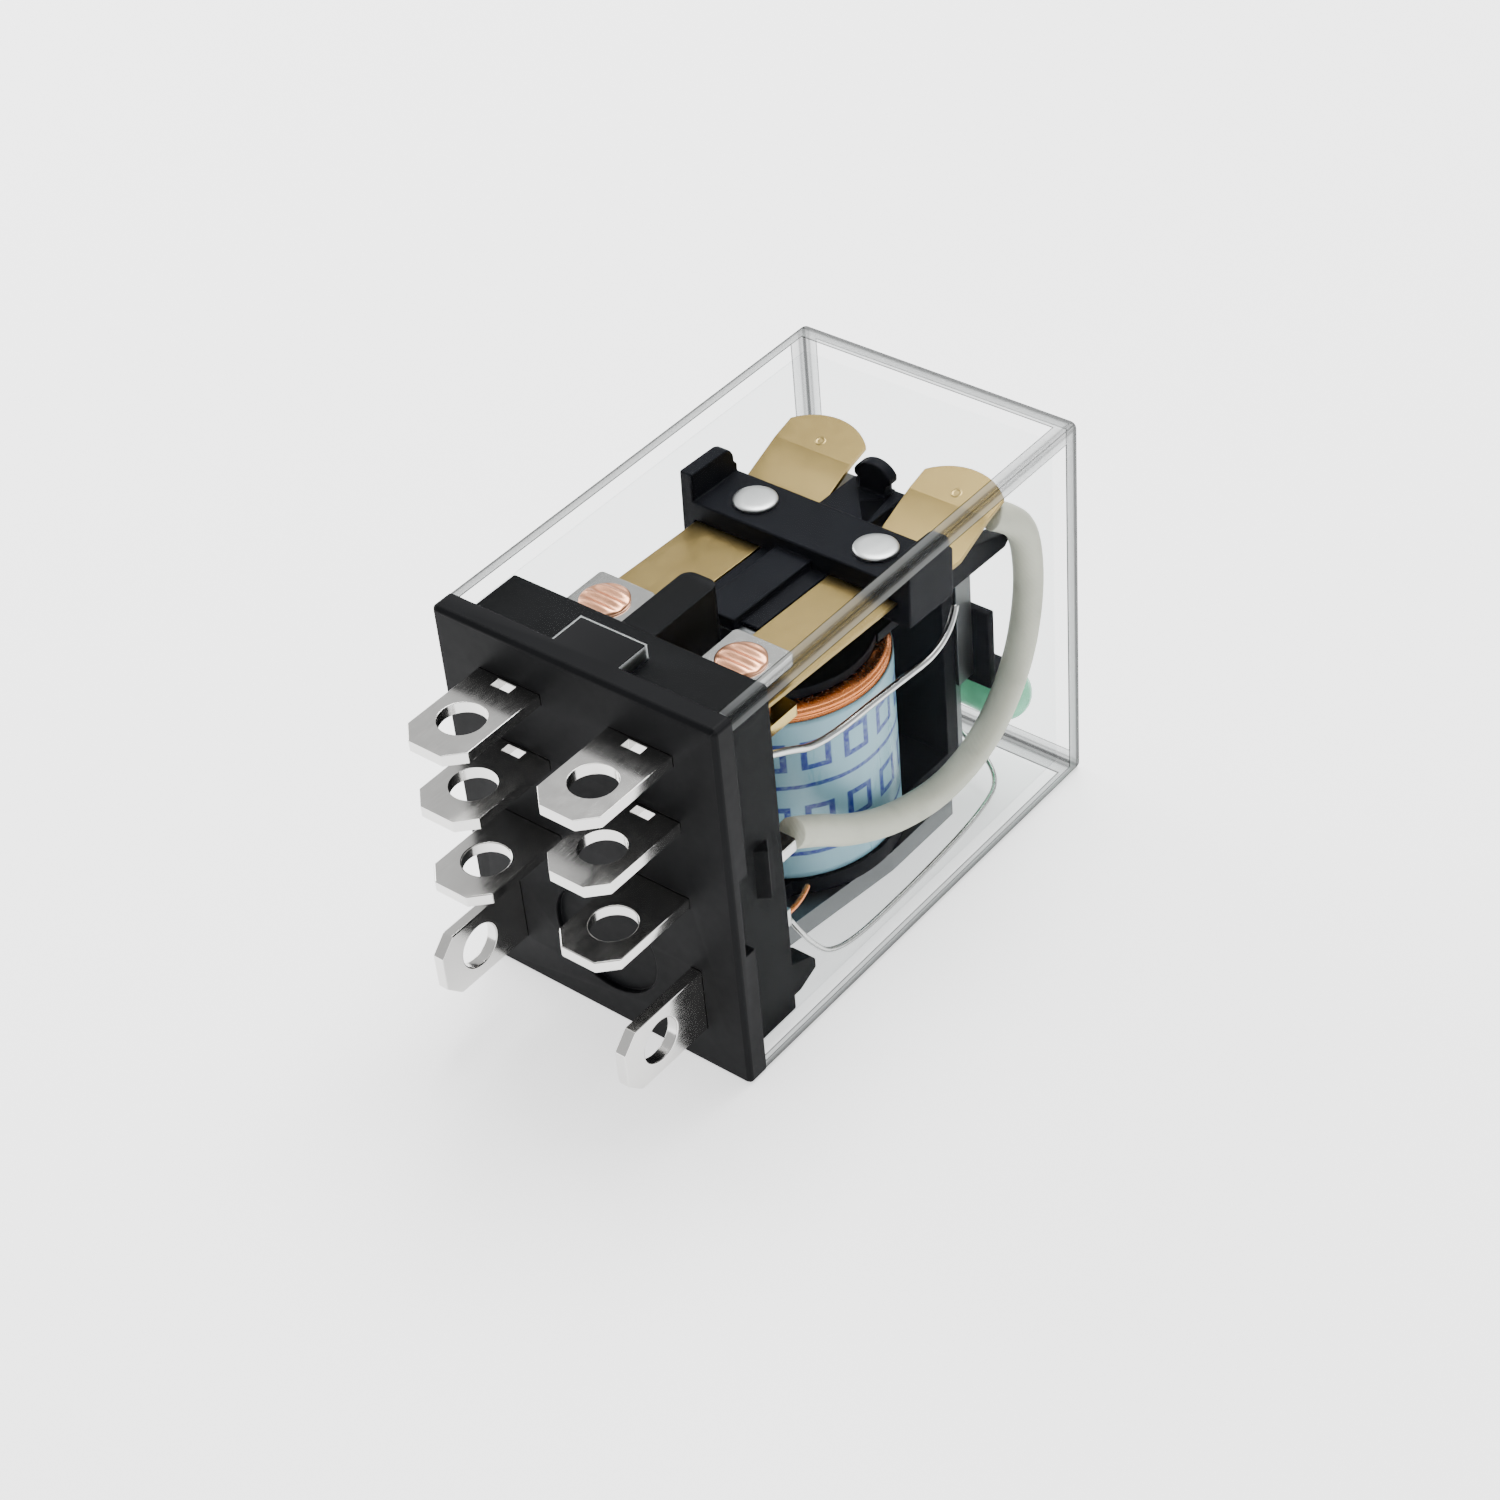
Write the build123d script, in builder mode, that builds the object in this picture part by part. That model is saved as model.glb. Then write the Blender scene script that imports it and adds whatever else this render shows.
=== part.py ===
"""Plug-in relay with two changeover poles, eight blades and a clear cover.

Frame: millimetres, +X to the right as seen from the blades, +Y from the
blades into the relay, +Z up. The origin is the middle of the base's seating
face. The blades point along -Y.
"""
from build123d import *
import os
from math import cos, pi, radians, sin, tan

os.makedirs("parts", exist_ok=True)

# ---------------------------------------------------------------- envelope
WIDTH = 21.5
HEIGHT = 28.0
DEPTH = 36.0
FLANGE_THICKNESS = 1.6
WALL = 1.0
END_WALL = 1.5
FIT = 0.05
SIDES = ((-1, "left"), (1, "right"))

INNER_HALF_WIDTH = WIDTH / 2 - WALL
INNER_HALF_HEIGHT = HEIGHT / 2 - WALL

# ---------------------------------------------------------------- base
BLOCK_END = 6.0
POCKET_DEPTH = 3.2
KEY_WIDTH = 5.0
KEY_END = 4.1
LATCH_BOTTOM, LATCH_TOP = -2.0, 2.6
WINDOW_START, WINDOW_END = 3.2, 5.1
TAB_BOTTOM, TAB_TOP = -3.6, 2.2
TAB_START = 0.85
RECESS_DIAMETER = 8.0
RECESS_DEPTH = 0.4
RECESS_Z = -7.4
BARRIER_HALF = 1.3
BARRIER_LOW_END = 8.3
BARRIER_END = 12.2
BARRIER_TOP = 12.8

# ---------------------------------------------------------------- blades
BLADE_LENGTH = 7.3
BLADE_WIDTH = 4.75
BLADE_THICKNESS = 0.8
BLADE_CHAMFER = 1.1
BLADE_HOLE = 3.0
BLADE_HOLE_Y = -4.1
SLOT_Y = -0.55
SLOT_LENGTH, SLOT_WIDTH = 1.4, 0.7
COLUMN_X = 5.0
NC_Z = 10.4
NO_Z = 5.4
COM_Z = -0.55
COIL_BLADE_X = 7.3
COIL_BLADE_Z = -8.3

# ---------------------------------------------------------------- contacts
CONTACT_X = 5.25
CONTACT_Y = 8.95
PLATE_WIDTH = 4.4
PLATE_END = 11.2
SHANK_RADIUS = 0.75
CONTACT_RADIUS = 1.45
CONTACT_HEIGHT = 0.45
TAIL_RADIUS = 1.6
NO_PLATE_TOP = 7.05

# ---------------------------------------------------------------- moving group
HINGE_Y = 30.0
HINGE_Z = 6.35
TRAVEL = 2.4
ARMATURE_THICKNESS = 1.6
ARMATURE_HALF = 6.2
ARMATURE_FRONT = 12.8
ARMATURE_REAR = 30.6
SPRING_THICKNESS = 0.3
SPRING_FRONT = 7.6
SPRING_INNER, SPRING_OUTER = 2.7, 7.8
TONGUE_START = 26.4
TONGUE_SHOULDER, TONGUE_END = 31.2, 32.4
TONGUE_INNER, TONGUE_OUTER = 2.3, 8.4
TONGUE_RISE = 2.5
BAR_FRONT, BAR_REAR = 20.4, 24.9
BAR_HEIGHT = 1.4
WING_INNER, WING_OUTER = 7.9, 8.9
WING_TOP = 5.3
RIVET_X, RIVET_Y = 4.7, 22.65
RIVET_RADIUS = 1.45
RIVET_HEAD = 0.4
NOSE_HALF, NOSE_TOP = 1.4, 2.5
SPINE_HALF, SPINE_END, SPINE_TOP = 2.05, 29.5, 2.6
ARM_INNER, ARM_OUTER = 6.25, 7.5
ARM_STEP, ARM_REAR = 25.2, 32.9
ARM_BOTTOM, ARM_DROP = 0.35, -1.0
POST_HALF, POST_HEAD_HALF, POST_TOP = 1.0, 1.4, 4.7

# ---------------------------------------------------------------- magnet
COIL_Y = 18.1
FOOT_TOP = -10.6
STEEL = 1.6
FOOT_FRONT = 3.6
YOKE_HALF = 6.0
LEG_FRONT = 29.0
LEG_HALF, LEG_STEP = 4.9, -4.4
CORE_RADIUS = 3.0
POLE_RADIUS = 4.2
POLE_THICKNESS = 1.25
TUBE_RADIUS = 3.75
FLANGE_LOW_TOP = -9.4
WINDING_TOP = 4.3
CHEEK_TOP = 5.0
WINDING_RADIUS = 7.25
TAPE_RADIUS = 7.45
TAPE_TOP = 3.2

# ---------------------------------------------------------------- wiring
LEAD_DIAMETER = 2.0
LEAD_X = 8.62
WIRE_DIAMETER = 0.5
FINE_WIRE = 0.36
LED_Y, LED_Z, LED_RADIUS = 32.55, -6.9, 1.85
LED_START, LED_DOME = 3.1, 7.0
RESISTOR_RADIUS = 1.1
RESISTOR_START, RESISTOR_LENGTH = -6.2, 5.6


def across(y):
    """Plane square to the depth axis at depth y; its own y axis is up."""
    return Plane.XZ.offset(-y)


def beside(x):
    """Plane square to the width axis at x, with depth to the right and up up."""
    return Plane.YZ.offset(x)


# The moving group is drawn level, as it lies when the coil is on, and its
# planes are then tilted by the travel, which is where it rests.
TILT = radians(TRAVEL)
PIVOT = (0, HINGE_Y, HINGE_Z)
MOVING = Plane(origin=PIVOT, x_dir=(1, 0, 0), z_dir=(0, sin(TILT), cos(TILT)))
MOVING_SIDE = Plane(origin=PIVOT, x_dir=(0, cos(TILT), -sin(TILT)), z_dir=(1, 0, 0))


def level(y):
    """Depth y as a distance from the hinge line."""
    return y - HINGE_Y


def save(part, name):
    """Label one finished piece and write it as its own file."""
    part.label = name
    export_step(part, f"parts/{name}.step")


# Terminal sections where they pass through the base: x, z, width, height.
PASSAGES = []
for side, _ in SIDES:
    for row_z in (NC_Z, NO_Z, COM_Z):
        PASSAGES.append((side * COLUMN_X, row_z, BLADE_WIDTH, BLADE_THICKNESS))
    PASSAGES.append((side * COIL_BLADE_X, COIL_BLADE_Z, BLADE_THICKNESS, BLADE_WIDTH))

# ================================================================ base
BLOCK_WIDTH = 2 * (INNER_HALF_WIDTH - FIT)
BLOCK_HEIGHT = 2 * (INNER_HALF_HEIGHT - FIT)
KEY_HALF = KEY_WIDTH / 2 - FIT
POCKET_CENTRES = (
    (0, 8.6, 3.6, 4.4),
    (0, -2.6, 4.0, 6.0),
    (0, -8.2, 9.6, 2.6),
    (-5.2, 7.95, 6.0, 1.9),
    (5.2, 7.95, 6.0, 1.9),
    (-5.2, 2.5, 6.0, 3.2),
    (5.2, 2.5, 6.0, 3.2),
    (-5.2, -3.7, 6.0, 3.2),
    (5.2, -3.7, 6.0, 3.2),
)

with BuildPart() as base:
    with BuildSketch(across(0)):
        RectangleRounded(WIDTH, HEIGHT, 0.4)
    extrude(amount=-FLANGE_THICKNESS)
    chamfer(base.faces().sort_by(Axis.Y)[0].edges(), length=0.25)
    with BuildSketch(across(FLANGE_THICKNESS)):
        RectangleRounded(BLOCK_WIDTH, BLOCK_HEIGHT, 0.3)
    extrude(amount=-(BLOCK_END - FLANGE_THICKNESS))
    # The key fills the notch in the cover's rim, flush with its outer face.
    with BuildSketch(across(FLANGE_THICKNESS)):
        with Locations((0, HEIGHT / 2 - WALL / 2 - FIT)):
            Rectangle(2 * KEY_HALF, WALL + 2 * FIT)
    extrude(amount=-(KEY_END - FIT - FLANGE_THICKNESS))
    # Latch wedges stand in the cover's side windows.
    for side, _ in SIDES:
        with BuildSketch(Plane.XY.offset(LATCH_BOTTOM + 0.4)):
            with BuildLine():
                Polyline(
                    (side * (BLOCK_WIDTH / 2 - 0.4), WINDOW_START + 0.2),
                    (side * BLOCK_WIDTH / 2, WINDOW_START + 0.2),
                    (side * (WIDTH / 2 - 0.3), WINDOW_START + 0.7),
                    (side * BLOCK_WIDTH / 2, WINDOW_END - 0.4),
                    (side * (BLOCK_WIDTH / 2 - 0.4), WINDOW_END - 0.4),
                    close=True,
                )
            make_face()
        extrude(amount=LATCH_TOP - LATCH_BOTTOM - 0.8)
    # Barrier between the poles, cut back below so that it clears the coil.
    with BuildSketch(beside(-BARRIER_HALF)):
        with BuildLine():
            Polyline(
                (BLOCK_END - 0.5, -6.0),
                (BARRIER_LOW_END, -6.0),
                (BARRIER_LOW_END, 6.6),
                (BARRIER_END, 7.6),
                (BARRIER_END, BARRIER_TOP),
                (BLOCK_END - 0.5, BARRIER_TOP),
                close=True,
            )
        make_face()
    extrude(amount=2 * BARRIER_HALF)
    fillet(base.edges().filter_by(Axis.Z).group_by(Axis.Y)[-1], radius=0.8)
    # Side lugs carry the front of the magnet frame.
    for side, _ in SIDES:
        with BuildSketch(beside(side * (BLOCK_WIDTH / 2 - 0.75) - 0.75)):
            with BuildLine():
                Polyline(
                    (BLOCK_END - 0.5, -9.1),
                    (BLOCK_END, -9.1),
                    (7.7, -9.7),
                    (8.2, -10.3),
                    (8.2, -11.0),
                    (6.6, -11.7),
                    (BLOCK_END - 0.5, -11.7),
                    close=True,
                )
            make_face()
        extrude(amount=1.5)
    # Pockets that keep the walls of the moulding even.
    for pocket_x, pocket_z, pocket_width, pocket_height in POCKET_CENTRES:
        with BuildSketch(across(BLOCK_END)):
            with Locations((pocket_x, pocket_z)):
                Rectangle(pocket_width, pocket_height)
        extrude(amount=POCKET_DEPTH, mode=Mode.SUBTRACT)
    with BuildSketch(beside(-BARRIER_HALF)):
        with BuildLine():
            Polyline(
                (BLOCK_END - POCKET_DEPTH, -6.0),
                (BARRIER_LOW_END - 0.5, -6.0),
                (BARRIER_LOW_END - 0.5, BARRIER_TOP),
                (BLOCK_END - POCKET_DEPTH, BARRIER_TOP),
                close=True,
            )
        make_face()
    extrude(amount=2 * BARRIER_HALF)
    # Seat for the magnet frame's foot, and the passages of the eight blades.
    with BuildSketch(across(BLOCK_END)):
        with Locations((0, FOOT_TOP - STEEL / 2)):
            Rectangle(9.0, STEEL + 2 * 0.01)
    extrude(amount=BLOCK_END - FOOT_FRONT, mode=Mode.SUBTRACT)
    with BuildSketch(across(BLOCK_END)):
        for passage_x, passage_z, passage_width, passage_height in PASSAGES:
            with Locations((passage_x, passage_z)):
                Rectangle(passage_width, passage_height)
    extrude(amount=BLOCK_END, mode=Mode.SUBTRACT)
    # Shallow round recess and the side notches for the cover's tabs.
    with BuildSketch(across(0)):
        with Locations((0, RECESS_Z)):
            Circle(RECESS_DIAMETER / 2)
    extrude(amount=-RECESS_DEPTH, mode=Mode.SUBTRACT)
    for side, _ in SIDES:
        with BuildSketch(across(FLANGE_THICKNESS)):
            with Locations((side * (WIDTH / 2 - WALL / 2), (TAB_BOTTOM + TAB_TOP) / 2)):
                Rectangle(WALL + 2 * FIT, TAB_TOP - TAB_BOTTOM + 2 * FIT)
        extrude(amount=FLANGE_THICKNESS - TAB_START + FIT, mode=Mode.SUBTRACT)
save(base.part, "base")

# ================================================================ cover
with BuildPart() as cover:
    with BuildSketch(across(FLANGE_THICKNESS)):
        RectangleRounded(WIDTH, HEIGHT, 0.5)
    extrude(amount=-(DEPTH - FLANGE_THICKNESS))
    fillet(cover.faces().sort_by(Axis.Y)[-1].edges(), radius=0.4)
    with BuildSketch(across(FLANGE_THICKNESS)):
        RectangleRounded(2 * INNER_HALF_WIDTH, 2 * INNER_HALF_HEIGHT, 0.3)
    extrude(amount=-(DEPTH - END_WALL - FLANGE_THICKNESS), mode=Mode.SUBTRACT)
    with BuildSketch(Plane.XY.offset(INNER_HALF_HEIGHT - 0.5)):
        with Locations((0, (FLANGE_THICKNESS + KEY_END) / 2)):
            Rectangle(KEY_WIDTH, KEY_END - FLANGE_THICKNESS)
    extrude(amount=WALL + 1.0, mode=Mode.SUBTRACT)
    with BuildSketch(beside(-WIDTH)):
        with Locations(((WINDOW_START + WINDOW_END) / 2, (LATCH_BOTTOM + LATCH_TOP) / 2)):
            Rectangle(WINDOW_END - WINDOW_START, LATCH_TOP - LATCH_BOTTOM)
    extrude(amount=2 * WIDTH, mode=Mode.SUBTRACT)
    for side, _ in SIDES:
        with BuildSketch(across(TAB_START)):
            with Locations((side * (WIDTH / 2 - WALL / 2), (TAB_BOTTOM + TAB_TOP) / 2)):
                Rectangle(WALL, TAB_TOP - TAB_BOTTOM)
        extrude(amount=-(FLANGE_THICKNESS - TAB_START))
save(cover.part, "cover")


# ================================================================ fixed terminals
def blade_sketch(centre, z_low, end, slotted):
    """Plan of one flat blade from its chamfered tip to its inner end."""
    half = BLADE_WIDTH / 2
    with BuildSketch(Plane.XY.offset(z_low)) as outline:
        with BuildLine():
            Polyline(
                (centre - half, end),
                (centre - half, -BLADE_LENGTH + BLADE_CHAMFER),
                (centre - half + BLADE_CHAMFER, -BLADE_LENGTH),
                (centre + half - BLADE_CHAMFER, -BLADE_LENGTH),
                (centre + half, -BLADE_LENGTH + BLADE_CHAMFER),
                (centre + half, end),
                close=True,
            )
        make_face()
        with Locations((centre, BLADE_HOLE_Y)):
            Circle(BLADE_HOLE / 2, mode=Mode.SUBTRACT)
        if slotted:
            with Locations((centre, SLOT_Y)):
                Rectangle(SLOT_LENGTH, SLOT_WIDTH, mode=Mode.SUBTRACT)
    return outline.sketch


def contact_plate(side, top):
    """Plan of the plate that carries a fixed contact, with its rivet hole."""
    with BuildSketch(Plane.XY.offset(top - BLADE_THICKNESS)) as outline:
        with Locations((side * CONTACT_X, (BLOCK_END + PLATE_END) / 2)):
            RectangleRounded(PLATE_WIDTH, PLATE_END - BLOCK_END, 0.3)
        with Locations((side * CONTACT_X, CONTACT_Y)):
            Circle(SHANK_RADIUS, mode=Mode.SUBTRACT)
    return outline.sketch


NO_LOW = NO_Z - BLADE_THICKNESS / 2
NC_TOP = NC_Z + BLADE_THICKNESS / 2
for side, name in SIDES:
    with BuildPart() as nc_terminal:
        add(blade_sketch(side * COLUMN_X, NC_TOP - BLADE_THICKNESS, BLOCK_END + 0.5, True))
        extrude(amount=BLADE_THICKNESS)
        add(contact_plate(side, NC_TOP))
        extrude(amount=BLADE_THICKNESS)
    save(nc_terminal.part, f"nc_terminal_{name}")

    with BuildPart() as no_terminal:
        add(blade_sketch(side * COLUMN_X, NO_LOW, BLOCK_END + BLADE_THICKNESS, True))
        extrude(amount=BLADE_THICKNESS)
        with BuildSketch(across(BLOCK_END + FIT)):
            with Locations((side * CONTACT_X, (NO_LOW + NO_PLATE_TOP) / 2)):
                Rectangle(PLATE_WIDTH, NO_PLATE_TOP - NO_LOW)
        extrude(amount=-BLADE_THICKNESS)
        add(contact_plate(side, NO_PLATE_TOP))
        extrude(amount=BLADE_THICKNESS)
    save(no_terminal.part, f"no_terminal_{name}")

    # The common blade ends inside in a tab that reaches out to its lead.
    with BuildPart() as com_terminal:
        add(blade_sketch(side * COLUMN_X, COM_Z - BLADE_THICKNESS / 2, BLOCK_END + 0.5, False))
        extrude(amount=BLADE_THICKNESS)
        with BuildSketch(Plane.XY.offset(COM_Z - BLADE_THICKNESS / 2)):
            with Locations((side * 6.3, BLOCK_END + FIT + 0.85)):
                RectangleRounded(6.4, 1.7, 0.3)
        extrude(amount=BLADE_THICKNESS)
    save(com_terminal.part, f"com_terminal_{name}")

    # The coil blades stand on edge, with a narrow solder tail inside.
    with BuildPart() as coil_terminal:
        half = BLADE_WIDTH / 2
        with BuildSketch(beside(side * COIL_BLADE_X - BLADE_THICKNESS / 2)):
            with BuildLine():
                Polyline(
                    (BLOCK_END, COIL_BLADE_Z - half),
                    (-BLADE_LENGTH + BLADE_CHAMFER, COIL_BLADE_Z - half),
                    (-BLADE_LENGTH, COIL_BLADE_Z - half + BLADE_CHAMFER),
                    (-BLADE_LENGTH, COIL_BLADE_Z + half - BLADE_CHAMFER),
                    (-BLADE_LENGTH + BLADE_CHAMFER, COIL_BLADE_Z + half),
                    (BLOCK_END, COIL_BLADE_Z + half),
                    (BLOCK_END, COIL_BLADE_Z + 0.9),
                    (8.6, COIL_BLADE_Z + 0.9),
                    (8.6, COIL_BLADE_Z - 0.5),
                    (BLOCK_END, COIL_BLADE_Z - 0.5),
                    close=True,
                )
            make_face()
            with Locations((BLADE_HOLE_Y, COIL_BLADE_Z)):
                Circle(BLADE_HOLE / 2, mode=Mode.SUBTRACT)
        extrude(amount=BLADE_THICKNESS)
    save(coil_terminal.part, f"coil_terminal_{name}")

    # ------------------------------------------------------------ fixed contacts
    with BuildPart() as nc_contact:
        with BuildSketch(Plane.XY.offset(NC_TOP - BLADE_THICKNESS - CONTACT_HEIGHT)):
            with Locations((side * CONTACT_X, CONTACT_Y)):
                Circle(CONTACT_RADIUS)
        extrude(amount=CONTACT_HEIGHT)
        with BuildSketch(Plane.XY.offset(NC_TOP - BLADE_THICKNESS)):
            with Locations((side * CONTACT_X, CONTACT_Y)):
                Circle(SHANK_RADIUS)
        extrude(amount=BLADE_THICKNESS)
        with BuildSketch(Plane.XY.offset(NC_TOP)):
            with Locations((side * CONTACT_X, CONTACT_Y)):
                Circle(TAIL_RADIUS)
        extrude(amount=0.4)
        fillet(nc_contact.edges().group_by(Axis.Z)[-1], radius=0.2)
    save(nc_contact.part, f"nc_contact_{name}")

    with BuildPart() as no_contact:
        with BuildSketch(Plane.XY.offset(NO_PLATE_TOP - BLADE_THICKNESS - 0.45)):
            with Locations((side * CONTACT_X, CONTACT_Y)):
                Circle(TAIL_RADIUS)
        extrude(amount=0.45)
        with BuildSketch(Plane.XY.offset(NO_PLATE_TOP - BLADE_THICKNESS)):
            with Locations((side * CONTACT_X, CONTACT_Y)):
                Circle(SHANK_RADIUS)
        extrude(amount=BLADE_THICKNESS)
        with BuildSketch(Plane.XY.offset(NO_PLATE_TOP)):
            with Locations((side * CONTACT_X, CONTACT_Y)):
                Circle(CONTACT_RADIUS)
        extrude(amount=CONTACT_HEIGHT)
    save(no_contact.part, f"no_contact_{name}")

# ================================================================ magnet frame
FOOT_LOW = FOOT_TOP - STEEL
with BuildPart() as yoke:
    with BuildSketch(Plane.XY.offset(FOOT_LOW)):
        with BuildLine():
            right = Polyline(
                (4.45, FOOT_FRONT),
                (4.45, 8.6),
                (6.3, 8.9),
                (7.6, 19.0),
                (7.6, 25.6),
                (LEG_HALF, 28.2),
                (LEG_HALF, LEG_FRONT + STEEL),
            )
            mirror(right, about=Plane.YZ)
            Line((-4.45, FOOT_FRONT), (4.45, FOOT_FRONT))
            Line((-LEG_HALF, LEG_FRONT + STEEL), (LEG_HALF, LEG_FRONT + STEEL))
        make_face()
        with Locations((0, COIL_Y)):
            Circle(CORE_RADIUS - 0.8, mode=Mode.SUBTRACT)
    extrude(amount=STEEL)
    with BuildSketch(across(LEG_FRONT)):
        with Locations((0, (LEG_STEP + HINGE_Z - FIT) / 2)):
            Rectangle(2 * YOKE_HALF, HINGE_Z - FIT - LEG_STEP)
        with Locations((0, (FOOT_LOW + LEG_STEP) / 2)):
            Rectangle(2 * LEG_HALF, LEG_STEP - FOOT_LOW)
    extrude(amount=-STEEL)
    fillet(yoke.edges().filter_by(Axis.X).group_by(Axis.Z)[0].sort_by(Axis.Y)[-1], radius=1.2)
    # Upturned ears at the front of the foot keep the bobbin from turning.
    for side, _ in SIDES:
        with BuildSketch(Plane.XY.offset(FOOT_LOW)):
            with Locations((side * 5.75, 9.3)):
                Rectangle(0.9, 0.8)
        extrude(amount=STEEL + 3.0)
save(yoke.part, "yoke")

with BuildPart() as core:
    with BuildSketch(Plane.XY.offset(FOOT_LOW - 0.35)):
        with Locations((0, COIL_Y)):
            Circle(CORE_RADIUS - 0.5)
    extrude(amount=0.35)
    with BuildSketch(Plane.XY.offset(FOOT_LOW)):
        with Locations((0, COIL_Y)):
            Circle(CORE_RADIUS - 0.8)
    extrude(amount=STEEL)
    with BuildSketch(Plane.XY.offset(FOOT_TOP)):
        with Locations((0, COIL_Y)):
            Circle(CORE_RADIUS)
    extrude(amount=CHEEK_TOP - FOOT_TOP)
    with BuildSketch(Plane.XY.offset(CHEEK_TOP)):
        with Locations((0, COIL_Y)):
            Circle(POLE_RADIUS)
    extrude(amount=POLE_THICKNESS)
    chamfer(core.edges().group_by(Axis.Z)[-1], length=0.2)
save(core.part, "core")

# ================================================================ coil
with BuildPart() as bobbin:
    with BuildSketch(Plane.XY.offset(FOOT_TOP)):
        with Locations((0, COIL_Y)):
            Circle(7.6)
        with Locations((0, 25.0)):
            Rectangle(11.6, 7.8)
        with Locations((0, 11.6)):
            Rectangle(9.6, 4.6)
    extrude(amount=FLANGE_LOW_TOP - FOOT_TOP)
    with BuildSketch(Plane.XY.offset(FLANGE_LOW_TOP)):
        with Locations((0, COIL_Y)):
            Circle(TUBE_RADIUS)
    extrude(amount=WINDING_TOP - FLANGE_LOW_TOP)
    with BuildSketch(Plane.XY.offset(WINDING_TOP)):
        with Locations((0, COIL_Y)):
            Circle(6.4)
        with Locations((0, 25.0)):
            Rectangle(11.6, 7.8)
        with Locations((0, 10.65)):
            Rectangle(11.0, 4.3)
    extrude(amount=CHEEK_TOP - WINDING_TOP)
    # Rear wall that insulates the winding from the frame's leg.
    with BuildSketch(Plane.XY.offset(FOOT_TOP)):
        with Locations((0, LEG_FRONT - FIT - 0.6)):
            Rectangle(11.6, 1.2)
    extrude(amount=CHEEK_TOP - FOOT_TOP)
    with BuildSketch(Plane.XY.offset(FOOT_TOP)):
        with Locations((0, COIL_Y)):
            Circle(CORE_RADIUS)
    extrude(amount=CHEEK_TOP - FOOT_TOP, mode=Mode.SUBTRACT)
    # Clearance slots for the frame's two ears.
    with BuildSketch(Plane.XY.offset(FOOT_TOP)):
        for side, _ in SIDES:
            with Locations((side * 5.75, 9.3)):
                Rectangle(1.0, 0.9)
    extrude(amount=FLANGE_LOW_TOP - FOOT_TOP, mode=Mode.SUBTRACT)
save(bobbin.part, "bobbin")

with BuildPart() as coil_winding:
    with BuildSketch(Plane.XY.offset(FLANGE_LOW_TOP)):
        with Locations((0, COIL_Y)):
            Circle(WINDING_RADIUS)
            Circle(TUBE_RADIUS, mode=Mode.SUBTRACT)
    extrude(amount=WINDING_TOP - FLANGE_LOW_TOP)
    fillet(coil_winding.edges().group_by(Axis.Z)[-1].sort_by(SortBy.LENGTH)[-1], radius=0.5)
save(coil_winding.part, "coil_winding")

with BuildPart() as coil_tape:
    with BuildSketch(Plane.XY.offset(FLANGE_LOW_TOP)):
        with Locations((0, COIL_Y)):
            Circle(TAPE_RADIUS)
            Circle(WINDING_RADIUS, mode=Mode.SUBTRACT)
    extrude(amount=TAPE_TOP - FLANGE_LOW_TOP)
save(coil_tape.part, "coil_tape")

# ================================================================ armature
SPRING_LOW = ARMATURE_THICKNESS
SPRING_HIGH = SPRING_LOW + SPRING_THICKNESS
BAR_TOP = SPRING_HIGH + BAR_HEIGHT
with BuildPart() as armature:
    with BuildSketch(MOVING):
        with BuildLine():
            right = Polyline(
                (4.6, level(ARMATURE_FRONT)),
                (4.6, level(18.6)),
                (ARMATURE_HALF, level(20.2)),
                (ARMATURE_HALF, level(ARMATURE_REAR)),
            )
            mirror(right, about=Plane.YZ)
            Line((-4.6, level(ARMATURE_FRONT)), (4.6, level(ARMATURE_FRONT)))
            Line((-ARMATURE_HALF, level(ARMATURE_REAR)), (ARMATURE_HALF, level(ARMATURE_REAR)))
        make_face()
        with Locations((-RIVET_X, level(RIVET_Y)), (RIVET_X, level(RIVET_Y))):
            Circle(SHANK_RADIUS, mode=Mode.SUBTRACT)
    extrude(amount=ARMATURE_THICKNESS)
save(armature.part, "armature")

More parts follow.
